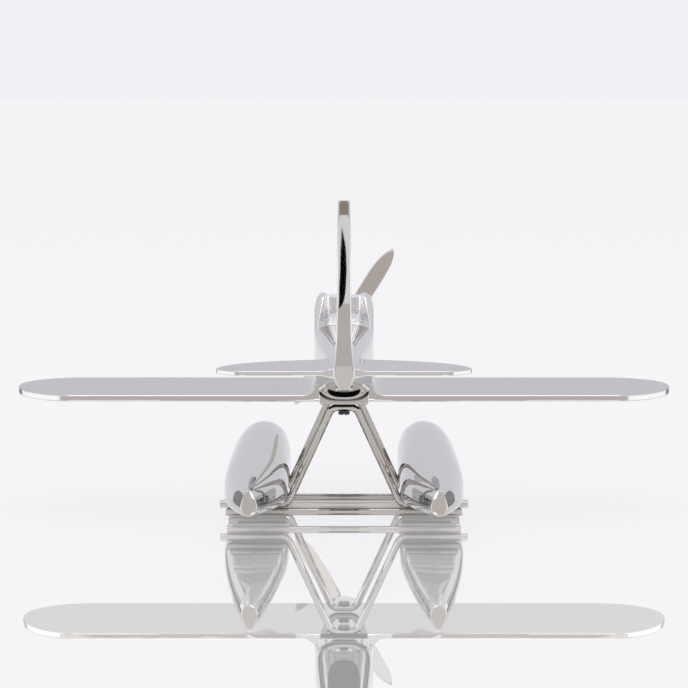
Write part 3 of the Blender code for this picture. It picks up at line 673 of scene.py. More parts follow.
def blued_screw(name, tint):
    """Dark oxide steel with worn, slightly brighter patches."""
    tree = Tree(name)
    place = tree.add("ShaderNodeTexCoord", output="Object")
    brighter, scale = SCREW_WEAR
    worn = tuple(min(value * brighter, 1.0) for value in tint)
    wear = tree.noise(place, scale, 4.0)
    colour = tree.blend(wear, (*tint, 1.0), (*worn, 1.0))
    least, added = SCREW_ROUGHNESS
    inputs = {"Base Color": colour, "Metallic": 1.0, "Roughness": least + wear * added}
    return tree.finish(tree.add("ShaderNodeBsdfPrincipled", None, inputs))


def glow(name, colour, flat):
    """An even glow for a card, kept out of the floor's own mirror.

    A flat card shows only its top.  A standing one shows only from the second bounce on, so the castings
    show it by way of the floor and the floor alone doesn't.
    """
    tree = Tree(name)
    light = tree.add("ShaderNodeEmission", None, {"Color": (*colour, 1.0)})
    clear = tree.add("ShaderNodeBsdfTransparent")
    if flat:
        shown = 1.0 - tree.add("ShaderNodeNewGeometry", output="Backfacing")
    else:
        depth = tree.add("ShaderNodeLightPath", output="Ray Depth")
        shown = tree.add("ShaderNodeMath", {"operation": "GREATER_THAN"}, {0: depth, 1: 1.5})
    return tree.finish(tree.add("ShaderNodeMixShader", None, {0: shown, 1: clear, 2: light}))


def glossy_floor(colour, mirror):
    """White glass lit from below: an even glow, a little matt white and a strong clear reflection."""
    tree = Tree("pale glossy floor")
    place = tree.add("ShaderNodeTexCoord", output="Object")
    least, added = FLOOR_ROUGHNESS
    rough = least + tree.noise(place, FLOOR_WAVE_SCALE) * added
    matt = tree.add("ShaderNodeBsdfPrincipled", None, {
        "Base Color": (FLOOR_MATT, FLOOR_MATT, FLOOR_MATT, 1.0), "Roughness": FLOOR_MATT_ROUGHNESS,
        "Specular IOR Level": 0.0, "Emission Color": (*colour, 1.0), "Emission Strength": 1.0,
    })
    clear = tree.add("ShaderNodeBsdfPrincipled", None, {
        "Base Color": (1.0, 1.0, 1.0, 1.0), "Metallic": 1.0, "Roughness": rough,
    })
    return tree.finish(tree.add("ShaderNodeMixShader", None, {0: mirror, 1: matt, 2: clear}))


# Settings


class FloatplaneMetal(bpy.types.PropertyGroup):
    """Finish of the castings, rods and screws."""

    casting: FloatVectorProperty(
        name="Casting", description="Colour that the polished castings reflect", subtype="COLOR",
        size=3, min=0, max=1, default=(0.70, 0.695, 0.69),
    )
    rod: FloatVectorProperty(
        name="Rod", description="Colour that the bright rods reflect", subtype="COLOR",
        size=3, min=0, max=1, default=(0.55, 0.525, 0.505),
    )
    screw: FloatVectorProperty(
        name="Screw", description="Colour of the dark screws", subtype="COLOR",
        size=3, min=0, max=1, default=(0.035, 0.034, 0.034),
    )
    roughness: FloatProperty(
        name="Roughness", description="Roughness of the polished castings", default=0.008, min=0, max=1,
        subtype="FACTOR",
    )
    ripple: FloatProperty(
        name="Ripple", description="Strength of the slow waves that polishing leaves", default=0.015,
        min=0, max=1, subtype="FACTOR",
    )


class FloatplaneEdges(bpy.types.PropertyGroup):
    """Roundings of the castings' edges."""

    wing: FloatProperty(
        name="Wing edge", description="Rounding of the wing's edges", default=0.45 * MM, unit="LENGTH",
    )
    tail: FloatProperty(
        name="Tailplane edge", description="Rounding of the tailplane's edges", default=0.3 * MM,
        unit="LENGTH",
    )
    fin: FloatProperty(
        name="Fin edge", description="Rounding of the fin's rear corners", default=0.6 * MM,
        unit="LENGTH",
    )
    saddle: FloatProperty(
        name="Saddle edge", description="Rounding of the saddle's edges", default=0.3 * MM,
        unit="LENGTH",
    )


class FloatplaneStudio(bpy.types.PropertyGroup):
    """Floor, light and camera."""

    backdrop: FloatVectorProperty(
        name="Backdrop", description="Colour of the air round the model", subtype="COLOR",
        size=3, min=0, max=2, default=(0.88, 0.875, 0.905),
    )
    floor: FloatVectorProperty(
        name="Floor", description="Glow of the glossy floor", subtype="COLOR",
        size=3, min=0, max=1, default=(0.71, 0.71, 0.715),
    )
    mirror: FloatProperty(
        name="Mirror", description="Share of the floor's look that is a clear reflection", default=0.66,
        min=0, max=1, subtype="FACTOR",
    )
    overhead: FloatProperty(
        name="Overhead light", description="Power of the soft light above in watts", default=5.6, min=0,
    )
    overhead_size: FloatProperty(
        name="Overhead size", description="Side of the soft light above", default=0.9, unit="LENGTH",
    )
    height: FloatProperty(
        name="Camera height", description="Height of the camera above the floor", default=0.2075,
        unit="LENGTH",
    )
    distance: FloatProperty(
        name="Camera distance", description="How far behind the model the camera stands", default=0.985,
        unit="LENGTH",
    )
    pitch: FloatProperty(
        name="Camera pitch", description="How far the camera looks down", default=np.radians(7.43),
        subtype="ANGLE",
    )
    lens: FloatProperty(
        name="Lens", description="Focal length in millimetres on a 36 mm sensor", default=116.42, min=1,
    )


def casting_metal(name, edge_tint=EDGE_TINT, patches=()):
    """The polished metal of a casting."""
    metal = bpy.context.scene.floatplane_metal
    finish = (tuple(metal.casting), metal.roughness, CASTING_HAZE, metal.ripple)
    return bright_metal(f"polished {name}", *finish, edge_tint, patches)


def rod_metal(name):
    """The bright drawn metal of a rod."""
    metal = bpy.context.scene.floatplane_metal
    finish = (tuple(metal.rod), metal.roughness, ROD_HAZE, metal.ripple / 2)
    return bright_metal(f"bright {name}", *finish, ROD_EDGE_TINT)


def add_casting(node, shells, body="airframe"):
    """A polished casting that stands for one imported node."""
    mesh = build_mesh(f"polished_{node}", shells)
    add_piece(f"polished_{node}", mesh, casting_metal(node), [node], body)


def add_rod(node, rod_shell):
    """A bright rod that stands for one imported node."""
    mesh = build_mesh(f"bright_{node}", [rod_shell])
    add_piece(f"bright_{node}", mesh, rod_metal(node), [node])


# Fuselage


def body_rows():
    """Stations along the fuselage and how high each stands: 0 in the scoop, 1 on the outer skin.

    The rows crowd where the scoop's end walls rise, and over its rounds they follow a sine.
    """
    rear, front = SCOOP_REAR[0], SCOOP_FRONT[0]
    swing = SCOOP_ROUND * np.sin(quarter(6))
    tail = stations((-125, 20), (-25, 10), (0, 4), (3.2, 4), (rear - 0.4, 2), (rear - 0.05, 0))
    inside = np.concatenate([
        rear + SCOOP_ROUND - swing[::-1], stations((9.5, 8), (22.5, 0)), front - SCOOP_ROUND + swing,
    ])
    nose = stations(
        (front + 0.05, 2), (front + 0.4, 4), (30, 6), (42, 6), (60, 8), (80, 8), (97, 10),
        (BODY_FRONT_Y - NOSE_EDGE, 0),
    )
    rise, climb = np.array(SCOOP_END_RISE).T
    y = np.concatenate([tail, rear - rise[::-1], inside, front + rise, nose])
    levels = [np.ones(len(tail)), climb[::-1], np.zeros(len(inside)), climb, np.ones(len(nose))]
    return y, np.concatenate(levels)[:, None]


def body_net(y, level):
    """Control net of the fuselage, each half ring from the belly's centre line to the deck's.

    Below and above, a half ring is a superellipse, with an upright side between them.  From the scoop's
    rim inwards it goes down the wall and over a round to the floor, or stays on the skin outside it.
    """
    half, bottom, low, high, top, low_power, high_power, valley = columns_of(BODY_TABLE, y)
    y = y[:, None]

    def skin(x):
        """Height of the upper skin: a superellipse less the valley between the humps."""
        share = np.clip(x / half, 0, 1)
        dip = valley * (1 - ease(*VALLEY_EDGE, share))
        return high + (top - high) * (1 - share ** high_power) ** (1 / high_power) - dip

    angle = -quarter(12)[:0:-1]
    reach = polar_radius(angle, low_power)
    lower = grid(half * reach * np.cos(angle), y, low + (low - bottom) * reach * np.sin(angle))
    side = grid(half, y, low + (high - low) * np.arange(3) / 3)

    # The scoop's half width at each station, less where its corners are round
    line = np.interp(y, (SCOOP_REAR[0], SCOOP_FRONT[0]), (SCOOP_REAR[1], SCOOP_FRONT[1]))
    inward = np.maximum(y - (SCOOP_FRONT[0] - SCOOP_ROUND), (SCOOP_REAR[0] + SCOOP_ROUND) - y)
    inward = np.clip(inward, 0, SCOOP_ROUND * SCOOP_ROUND_LIMIT)
    round_left = np.sqrt(SCOOP_ROUND ** 2 - inward ** 2)
    inside = (y >= SCOOP_REAR[0] - SCOOP_END_MARGIN) & (y <= SCOOP_FRONT[0] + SCOOP_END_MARGIN)
    outer_share = np.where(y < SCOOP_REAR[0], *SCOOP_RIM_SHARES)
    rim = np.where(inside, line - SCOOP_ROUND + round_left, outer_share * half)
    room = half - rim
    near = [rim + np.minimum(limit, share * room) for limit, share in SCOOP_RIM_LINES]

    tangent = ((near[0] / half) ** -high_power - 1) ** (1 / high_power)
    angle = np.arctan(tangent) * np.linspace(0, 1, 15)
    x = half * polar_radius(angle, high_power) * np.cos(angle)
    edge_x = np.concatenate([near[1], near[2], rim], axis=1)

    # Inside the rim: wall, round and floor
    rim_z = skin(rim)
    wall_z = SCOOP_FLOOR_Z + SCOOP_ROUND
    height = np.maximum(rim_z - wall_z, SCOOP_LEAST_WALL)
    lip = [np.minimum(limit, height * share) for limit, share in SCOOP_LIP_LINES]
    depth = np.concatenate([*lip, *(height * share for share in SCOOP_WALL_SHARES)], axis=1)
    turn = quarter(4)[1:]
    reach = line - SCOOP_ROUND
    inwards = 1 - np.arange(1, 8) / 7
    tub_x = np.concatenate([rim + 0 * depth, reach + round_left * np.cos(turn), reach * inwards], axis=1)
    tub_z = np.concatenate([
        rim_z - depth, wall_z - round_left * np.sin(turn), wall_z - round_left + 0 * inwards,
    ], axis=1)
    count = tub_x.shape[1]
    skin_x = rim * (1 - np.arange(1, count + 1) / count)
    tub = grid(tub_x + (skin_x - tub_x) * level, y, tub_z + (skin(skin_x) - tub_z) * level)
    return np.concatenate([lower, side, grid(x, y, skin(x)), grid(edge_x, y, skin(edge_x)), tub], axis=1)


def fuselage_shell():
    """The fuselage: its net made fine, then the nose's round edge, its flat face and the shaft's bore."""
    rings = refine(both_sides(body_net(*body_rows())), 3, 2)
    centre = np.array((0, 0, THRUST_Z))
    spoke = (rings[-1:] - centre) * (1, 0, 1)
    radius = np.linalg.norm(spoke, axis=-1, keepdims=True)
    turn = quarter(6)[1:, None, None]
    over = spoke * (1 - NOSE_EDGE * (1 - np.cos(turn)) / radius) + centre
    over[..., 1] = (BODY_FRONT_Y - NOSE_EDGE + NOSE_EDGE * np.sin(turn))[..., 0]
    mouth = spoke / radius * SHAFT_BORE + centre + (0, BODY_FRONT_Y, 0)
    face = over[-1:] + (mouth - over[-1:]) * np.array((0.08, 1.0))[:, None, None]
    bottom = mouth + (0, SHAFT_REAR_Y - GAP - BODY_FRONT_Y, 0)
    return shell(np.concatenate([rings, over, face, bottom]))


def in_scoop(tree, place):
    """Share 1 inside the scoop's plan and 0 outside it, for its painted sheen."""
    x, y = tree.axis(place, "X"), tree.axis(place, "Y")
    (rear, rear_half), (front, front_half) = SCOOP_REAR, SCOOP_FRONT
    narrowing = (rear_half - front_half) / (front - rear)
    side_reach, end_reach = SCOOP_PAINTED_SHEEN_REACH
    aside = abs(x) + (y - rear) * narrowing - (rear_half + side_reach)
    beyond = abs(y - (rear + front) / 2) - ((front - rear) / 2 + end_reach)
    soft = (-SCOOP_PAINTED_SHEEN_EDGE, SCOOP_PAINTED_SHEEN_EDGE)
    return tree.fade(aside, *soft) * tree.fade(beyond, *soft)


def painted_belly_reflection(tree, place):
    """Share of the painted dark reflection under the belly: (x / a)^3 + (y / b)^3 about its middle, up to 1.
    """
    centre, reach = BELLY_DARK_REFLECTION
    across = (abs(tree.axis(place, "X")) * (1 / reach[0])) ** 3
    along = (abs(tree.axis(place, "Y") - centre) * (1 / reach[1])) ** 3
    below = tree.fade(tree.axis(place, "Z"), *BELLY_DARK_REFLECTION_TOP)
    return tree.fade(across + along, *BELLY_DARK_REFLECTION_EDGE) * below


class FLOATPLANE_OT_fuselage(bpy.types.Operator):
    """Build the fuselage with its two humps and the cockpit scoop"""

    bl_idname = "floatplane.fuselage"
    bl_label = "Fuselage"

    def execute(self, context):
        mesh = build_mesh("polished_fuselage", [fuselage_shell()])
        # The scoop's patch is a painted sheen and the belly's is a painted dark reflection
        patches = [(in_scoop, SCOOP_PAINTED_SHEEN), (painted_belly_reflection, BELLY_PAINTED_REFLECTION)]
        metal = casting_metal("fuselage", ROUND_EDGE_TINT, patches)
        add_piece("polished_fuselage", mesh, metal, ["fuselage"])
        return {"FINISHED"}


# Fin


def fin_shell(round_corner):
    """The fin as a loft of level sections, each from the rear face's middle round to the leading edge.

    A half section is the flat rear face, a quarter round corner and a side whose half width falls as
    sqrt(1 - s^p), with s the share of the way to the leading edge.
    """
    z = stations(
        (78, 3), (78.2, 3), (78.8, 3), (81, 3), (82.6, 3), (86, 4), (94, 6), (116, 8), (141, 5),
        (149, 5), (151, 5), (151.5, 0),
    )
    width, front = columns_of(FIN_TABLE, z)
    z = z[:, None]
    half = width / 2
    corner = np.minimum(round_corner, half * 0.5)
    flat = (half - corner) * np.arange(7) / 7
    rear = grid(flat, FIN_REAR_Y, z)
    turn = quarter(6)
    bend = grid(half - corner + corner * np.sin(turn), FIN_REAR_Y + corner * (1 - np.cos(turn)), z)
    s = 1 - (1 - np.arange(1, 17) / 16) ** 2
    start = FIN_REAR_Y + corner
    side = grid(half * np.sqrt(1 - s ** FIN_SIDE_POWER), start + (front - start) * s, z)
    return shell(refine(both_sides(np.concatenate([rear, bend, side], axis=1)), 3))


class FLOATPLANE_OT_fin(bpy.types.Operator):
    """Build the fin, rudder and tail post in one casting"""

    bl_idname = "floatplane.fin"
    bl_label = "Fin"

    def execute(self, context):
        add_casting("fin", [fin_shell(context.scene.floatplane_edges.fin / MM)])
        return {"FINISHED"}


# Wing and tailplane


def wing_outline():
    """Plan of the wing, anticlockwise: straight edges and two quarter ellipses at each tip."""
    straight = WING_HALF - WING_TIP_ROUND
    inner = stations((0, 6), (12, 20), (20, 6), (40, 8), (straight, 0))
    turn = quarter(24)
    rear_x = straight + WING_TIP_ROUND * np.sin(turn[1:])
    rear_y = WING_TIP_Y - (WING_TIP_Y - WING_TE_Y) * np.cos(turn[1:])
    front_x = straight + WING_TIP_ROUND * np.cos(turn[1:])
    front_y = WING_TIP_Y + (WING_LE_Y - WING_TIP_Y) * np.sin(turn[1:])
    x = np.concatenate([inner, rear_x, front_x, inner[-2:0:-1]])
    y = np.concatenate([np.full(len(inner), WING_TE_Y), rear_y, front_y, np.full(len(inner) - 2, WING_LE_Y)])
    right = np.stack([x, y], axis=-1)
    left = np.concatenate([[(0, WING_LE_Y)], right[:0:-1] * (-1, 1)])
    return np.concatenate([right, left])


def wing_top(x, y):
    """Height of the wing's upper face: flat, with a hollow elliptic fillet that climbs the fuselage.

    The fillet's size falls as sqrt(1 - s^2) over the last stretch before the leading edge.
    """
    s = np.clip((y - (WING_LE_Y - FILLET_FADE)) / (FILLET_FADE - FILLET_STOP), 0, 1)
    size = np.maximum(np.sqrt(1 - s * s), 0.02)
    out = np.clip((np.abs(x) - FILLET_INNER_X) / (FILLET_WIDTH * size), 0, 1)
    return WING_BOTTOM_Z + WING_THICKNESS + FILLET_HEIGHT * size * (1 - np.sqrt(1 - (1 - out) ** 2))


class FLOATPLANE_OT_wing(bpy.types.Operator):
    """Build the wing plate with its root fillets"""

    bl_idname = "floatplane.wing"
    bl_label = "Wing"

    def execute(self, context):
        outline = wing_outline()
        straight = WING_HALF - WING_TIP_ROUND
        spine_x = np.clip(outline[:, 0], -straight, straight)
        spine = np.stack([spine_x, np.full(len(outline), WING_SPINE_Y)], axis=-1)
        rounding = context.scene.floatplane_edges.wing / MM
        wing = plate(outline, spine, lambda x, y: np.full(x.shape, WING_BOTTOM_Z), wing_top, rounding)
        add_casting("wing", [wing])
        return {"FINISHED"}


def tail_outline(side):
    """Plan of one tailplane half: straight trailing edge, curved leading edge and an elliptic tip.

    The leading edge runs back with the square of the distance out, and in the tip both edges close in
    on their middle as the cosine of the turn.
    """
    start = TAIL_HALF - TAIL_TIP_ROUND
    inner = stations((TAIL_ROOT_X, 16), (10, 14), (start, 0))
    turn = quarter(24)
    x = np.concatenate([inner, start + TAIL_TIP_ROUND * np.sin(turn[1:])])
    share = np.concatenate([np.ones(len(inner)), np.cos(turn[1:])])
    front = TAIL_ROOT_LE_Y + (TAIL_TIP_LE_Y - TAIL_ROOT_LE_Y) * (x / TAIL_HALF) ** 2
    centre, reach = (front + TAIL_TE_Y) / 2, (front - TAIL_TE_Y) / 2 * share
    rear_edge = np.stack([x, centre - reach], axis=-1)
    front_edge = np.stack([x, centre + reach], axis=-1)[-2::-1]
    root = stations((front_edge[-1, 1], 12), (TAIL_TE_Y, 0))[1:-1]
    inner_edge = np.stack([np.full(len(root), TAIL_ROOT_X), root], axis=-1)
    outline = np.concatenate([rear_edge, front_edge, inner_edge])
    return outline if side > 0 else outline[::-1] * (-1, 1)


def tail_swell(x):
    """How much each face of the tailplane stands out at x, near the fuselage."""
    return TAIL_SWELL * (1 - ease(*TAIL_SWELL_X, np.abs(x)))


class FLOATPLANE_OT_tailplane(bpy.types.Operator):
    """Build both halves of the tailplane"""

    bl_idname = "floatplane.tailplane"
    bl_label = "Tailplane"

    def execute(self, context):
        rounding = context.scene.floatplane_edges.tail / MM
        start = TAIL_HALF - TAIL_TIP_ROUND
        for side, place in ((-1, "left"), (1, "right")):
            outline = tail_outline(side)
            spine_x = side * np.clip(side * outline[:, 0], TAIL_ROOT_X + 1, start)
            spine = np.stack([spine_x, np.full(len(outline), (TAIL_TE_Y + TAIL_TIP_LE_Y) / 2)], axis=-1)
            tail = plate(
                outline, spine, lambda x, y: TAIL_BOTTOM_Z - tail_swell(x),
                lambda x, y: TAIL_BOTTOM_Z + TAIL_THICKNESS + tail_swell(x), rounding,
            )
            add_casting(f"tailplane_{place}", [tail])
        return {"FINISHED"}


# Floats


def float_net(y):
    """Half rings of a float from its crown to its keel, about its own centre line.

    The top is a superellipse, then come an upright side, a quarter ellipse at the chine and the bottom.
    """
    half, crown, shoulder, keel, chine, corner_x, corner_z, power = columns_of(FLOAT_TABLE, y)
    y = y[:, None]
    angle = np.pi / 2 - quarter(16)
    reach = polar_radius(angle, power)
    dome = grid(half * reach * np.cos(angle), y, shoulder + (crown - shoulder) * reach * np.sin(angle))
    foot = keel + chine + corner_z
    side = grid(half, y, shoulder + (foot - shoulder) * np.arange(1, 4) / 4)
    turn = quarter(6)
    bend = grid(half - corner_x * (1 - np.cos(turn)), y, foot - corner_z * np.sin(turn))
    share = np.arange(1, 7) / 6
    bottom = grid((half - corner_x) * (1 - share), y, keel + chine * (1 - share))
    return np.concatenate([dome, side, bend, bottom], axis=1)


def drawn_in(ring, inset):
    """A ring drawn in by an inset on all sides, about the middle of its own box."""
    low, high = ring.min(axis=(0, 1)), ring.max(axis=(0, 1))
    centre, reach = (low + high) / 2, np.maximum((high - low) / 2, 1e-6)
    return centre + (ring - centre) * (1 - inset / reach * (1, 0, 1))


def float_shell(side):
    """A float: its hull made fine, a rounded leaf-shaped stern with a faint crease and a domed bow."""
    y = stations(
        (STERN_Y + STERN_RIM, 3), (-80, 8), (-60, 8), (-30, 8), (0, 4), (15, 3), (15.88, 1), (15.96, 1),
        (16.04, 1), (16.12, 3), (17, 5), (40, 8), (70, 10), (100, 10), (124, 4), (129, 0),
    )
    rings = refine(both_sides(float_net(y)), 3, 2)
    turn = quarter(6)[1:, None, None]
    stern = drawn_in(rings[:1], STERN_RIM * (1 - np.cos(turn)))
    stern[..., 1] = (STERN_Y + STERN_RIM * (1 - np.sin(turn)))[..., 0]
    share = np.array(STERN_SHARES)[:, None]
    face = stern[-1:].repeat(len(share), axis=0)
    face[..., 0] *= share
    face[..., 1] -= STERN_CREASE * (1 - share)
    bow = rings[-1:]
    centre = (bow.min(axis=(0, 1)) + bow.max(axis=(0, 1))) / 2
    dome = centre + (bow - centre) * np.cos(turn)
    dome[..., 1] = (centre[1] + BOW_DOME * np.sin(turn))[..., 0]
    whole = np.concatenate([face[::-1], stern[::-1], rings, dome])
    return shell(whole + (side * FLOAT_X, 0, 0), caps=False)


def groove_shell(y, top):
    """The space under the front rods: a slot with a round top, right through both floats."""
    turn = np.linspace(0, np.pi, 17)
    slot_y = np.concatenate([[y + GROOVE_HALF], y + GROOVE_HALF * np.cos(turn), [y - GROOVE_HALF]])
    slot_z = np.concatenate([[GROOVE_FLOOR_Z], top + GROOVE_HALF * np.sin(turn), [GROOVE_FLOOR_Z]])
    reach = SPREADER_HALF + GROOVE_OVERRUN
    return shell(grid(np.array((-reach, reach))[:, None], slot_y, slot_z))


class FLOATPLANE_OT_floats(bpy.types.Operator):
    """Build both floats"""

    bl_idname = "floatplane.floats"
    bl_label = "Floats"

    def execute(self, context):
        groove = groove_shell(middle("strut_front", 1), edge("strut_front", 0, 2) + ROD_RADIUS)
        for side, place in ((-1, "left"), (1, "right")):
            hull = build_mesh(f"polished_float_{place}", [float_shell(side)])
            mesh = cut(hull, [groove])
            metal = casting_metal(f"float {place}", ROUND_EDGE_TINT)
            add_piece(hull.name, mesh, metal, [f"float_{place}"])
        return {"FINISHED"}


# Rods, saddle and screws


def strut_path(foot_z, top_z):
    """Centre line of a bent strut, from one foot over the top to the other foot."""
    foot_corner = STRUT_TOP_X + STRUT_SPREAD * (top_z - foot_z)
    right = [(STRUT_TOP_X, top_z), (foot_corner, foot_z), (FOOT_END_X, foot_z)]
    return bend_path([(-x, z) for x, z in reversed(right)] + right, STRUT_BENDS, STRUT_STEPS)


def bar_path(z):
    """Centre line of a straight spreader bar."""
    x = np.linspace(-SPREADER_HALF, SPREADER_HALF, 9)
    return np.stack([x, np.full(len(x), z)], axis=-1)


class FLOATPLANE_OT_rods(bpy.types.Operator):
    """Build both bent struts and both spreader bars"""

    bl_idname = "floatplane.rods"
    bl_label = "Rods"

    def execute(self, context):
        for place in ("front", "rear"):
            strut, bar = f"strut_{place}", f"spreader_{place}"
            low, high = edge(strut, 0, 2) + ROD_RADIUS, edge(strut, 1, 2) - ROD_RADIUS
            for node, path in ((strut, strut_path(low, high)), (bar, bar_path(middle(bar, 2)))):
                add_rod(node, rod(path, middle(node, 1), ROD_RADIUS, ROD_END_ROUND))
        return {"FINISHED"}


def belly(x, y):
    """Height of the fuselage's under side at x, for one station y."""
    half, bottom, low, _, _, power = follow(BODY_TABLE, [y])[0][:6]
    share = np.clip(np.abs(x) / half, 0, 1)
    return low - (low - bottom) * (1 - share ** power) ** (1 / power)


def saddle_outline():
    """Section of the saddle, anticlockwise: its hollow top, a side, the flat bottom and a side."""
    inner = SADDLE_HALF - SADDLE_SPINE_INSET
    x = np.linspace(inner, -inner, 33)
    top_x = np.concatenate([[SADDLE_HALF], x, [-SADDLE_HALF]])
    hollow = np.stack([top_x, np.minimum(belly(top_x, SADDLE_REAR_Y) - GAP, SADDLE_TOP_Z)], axis=-1)
    corners = [
        (-SADDLE_HALF, SADDLE_TOP_Z), (-SADDLE_HALF, SADDLE_BOTTOM_Z),
        (SADDLE_HALF, SADDLE_BOTTOM_Z), (SADDLE_HALF, SADDLE_TOP_Z),
    ]
    around = bend_path(corners, (SADDLE_ROUND, SADDLE_ROUND), SADDLE_ROUND_STEPS)[1:-1]
    flat = np.stack([x[::-1], np.full(len(x), SADDLE_BOTTOM_Z)], axis=-1)
    first = SADDLE_ROUND_STEPS + 1
    return np.concatenate([hollow, around[:first], flat, around[first:]])


def painted_saddle_shade(tree, place):
    """Share of painted shade on the saddle: under the hollow's edge, deeper at its sides, and below.

    The height of the belly over the saddle is its section's formula, written with the tree's sockets.
    """
    half, bottom, low, _, _, power = follow(BODY_TABLE, [SADDLE_REAR_Y])[0][:6]
    out = abs(tree.axis(place, "X")) * (1 / half)
    z = tree.axis(place, "Z")
    under = low - (low - bottom) * (1 - out ** power) ** (1 / power) - z
    aside = out ** 2
    in_middle, at_sides = SADDLE_SHADE_SHARE
    edge_shade = tree.fade(under - aside, *SADDLE_SHADE_DEPTH) * (in_middle + aside * at_sides)
    return edge_shade + tree.fade(z - SADDLE_BOTTOM_Z, *SADDLE_UNDER_SHADE_EDGE)


class FLOATPLANE_OT_saddle(bpy.types.Operator):
    """Build the saddle block under the belly, hollow above"""

    bl_idname = "floatplane.saddle"
    bl_label = "Saddle"

    def execute(self, context):
        outline = saddle_outline()
        inner = SADDLE_HALF - SADDLE_SPINE_INSET
        spine_x = np.clip(outline[:, 0], -inner, inner)
        spine_z = np.full(len(outline), SADDLE_BOTTOM_Z + SADDLE_SPINE_RISE)
        spine = np.stack([spine_x, spine_z], axis=-1)
        points, faces = plate(
            outline, spine, lambda x, z: np.full(x.shape, SADDLE_REAR_Y),
            lambda x, z: np.full(x.shape, SADDLE_FRONT_Y), context.scene.floatplane_edges.saddle / MM,
        )
        mesh = build_mesh("polished_saddle", [(points[:, (0, 2, 1)], faces)])
        # Painted shade on the saddle, under its hollow edge and along its under side
        metal = casting_metal("saddle", patches=[(painted_saddle_shade, SADDLE_PAINTED_SHADE)])
        add_piece("polished_saddle", mesh, metal, ["saddle"])
        return {"FINISHED"}


class FLOATPLANE_OT_screws(bpy.types.Operator):
    """Build the two dark screws under the struts"""

    bl_idname = "floatplane.screws"
    bl_label = "Screws"

    def execute(self, context):
        turn = quarter(5)
        over = np.stack([
            SCREW_BOTTOM_Z + SCREW_EDGE * (1 - np.cos(turn)),
            SCREW_RADIUS - SCREW_EDGE * (1 - np.sin(turn)),
        ], axis=-1)
        profile = [
            (SCREW_BOTTOM_Z, 0), (SCREW_BOTTOM_Z, SCREW_RADIUS - 2 * SCREW_EDGE), *over,
            (SCREW_TOP_Z, SCREW_RADIUS), (SCREW_TOP_Z, 0),
        ]
        width, depth = SCREW_SLOT
        tint = tuple(context.scene.floatplane_metal.screw)
        for place in ("front", "rear"):
            node = f"screw_{place}"
            y = middle(node, 1)
            head = build_mesh(f"dark_{node}", [turned(profile, (0, y), 2, 64)])
            low = (-width / 2, y - 2 * SCREW_RADIUS, SCREW_BOTTOM_Z - 1)
            high = (width / 2, y + 2 * SCREW_RADIUS, SCREW_BOTTOM_Z + depth)
            mesh = cut(head, [box_shell(low, high)])
            add_piece(f"dark_{node}", mesh, blued_screw(f"dark {node}", tint), [node])
        return {"FINISHED"}


# Propeller


def spinner_shell():
    """The spinner: its ogive as a spline through the table, a flat base and the bore for the shaft."""
    outside = spline_weights(len(SPINNER_PROFILE), 6) @ np.array(SPINNER_PROFILE) + (SPINNER_BASE_Y, 0)
    outside[-1, 0] = SPINNER_TIP_Y
    radius, depth = SPINNER_BORE
    inside = [
        (SPINNER_BASE_Y + depth, 0), (SPINNER_BASE_Y + depth, radius), (SPINNER_BASE_Y, radius),
        (SPINNER_BASE_Y, outside[0, 1] - SPINNER_EDGE),
    ]
    return turned([*inside, *outside], (0, THRUST_Z), 1, 128)


def shaft_shell():
    """The pin that the propeller turns on, with a small chamfer at both ends."""
    narrow = SHAFT_RADIUS - SHAFT_EDGE
    pin = [
        (SHAFT_REAR_Y, 0), (SHAFT_REAR_Y, narrow), (SHAFT_REAR_Y + SHAFT_EDGE, SHAFT_RADIUS),
        (SHAFT_FRONT_Y - SHAFT_EDGE, SHAFT_RADIUS), (SHAFT_FRONT_Y, narrow), (SHAFT_FRONT_Y, 0),
    ]
    return turned(pin, (0, THRUST_Z), 1, 48)


def blade_shell(angle):
    """A blade: lens sections along a radius, each turned by its pitch.

    Along the chord a section runs as cos a.  Its front stands out as a power of sin a, and its rear,
    which is nearly flat, as a smaller share of a far lower power.
    """
    radius = stations((4, 4), (17, 5), (37.5, 4), (44, 4), (45.6, 3), (46.2, 0))
    chord, thickness, offset, pitch = columns_of(BLADE_TABLE, radius)
    around = np.linspace(0, 2 * np.pi, 48, endpoint=False)
    u = chord / 2 * np.cos(around)
    rise = np.abs(np.sin(around))
    rear = -BLADE_REAR * rise ** BLADE_REAR_POWER
    v = thickness / 2 * np.where(np.sin(around) > 0, rise ** BLADE_FRONT_POWER, rear)
    pitch = np.radians(pitch)
    sideways = offset + u * np.cos(pitch) - v * np.sin(pitch)
    ahead = u * np.sin(pitch) + v * np.cos(pitch)
    outward = radius[:, None]
    x = outward * np.sin(angle) + sideways * np.cos(angle)
    z = outward * np.cos(angle) - sideways * np.sin(angle)
    return shell(refine(grid(x, BLADE_PLANE_Y + ahead, THRUST_Z + z), 4))


class FLOATPLANE_OT_propeller(bpy.types.Operator):
    """Build the spinner, both blades and the pin that they turn on"""

    bl_idname = "floatplane.propeller"
    bl_label = "Propeller"

    def execute(self, context):
        add_casting("spinner", [spinner_shell()], "propeller")
        for number, angle in ((1, BLADE_ANGLE), (2, BLADE_ANGLE + np.pi)):
            add_casting(f"propeller_blade_{number}", [blade_shell(angle)], "propeller")
        add_rod("propeller_shaft", shaft_shell())
        return {"FINISHED"}


# Studio

# The studio's places are in metres
ROOM_Y = -2.6
ROOM_X = (-1.9, 1.9)
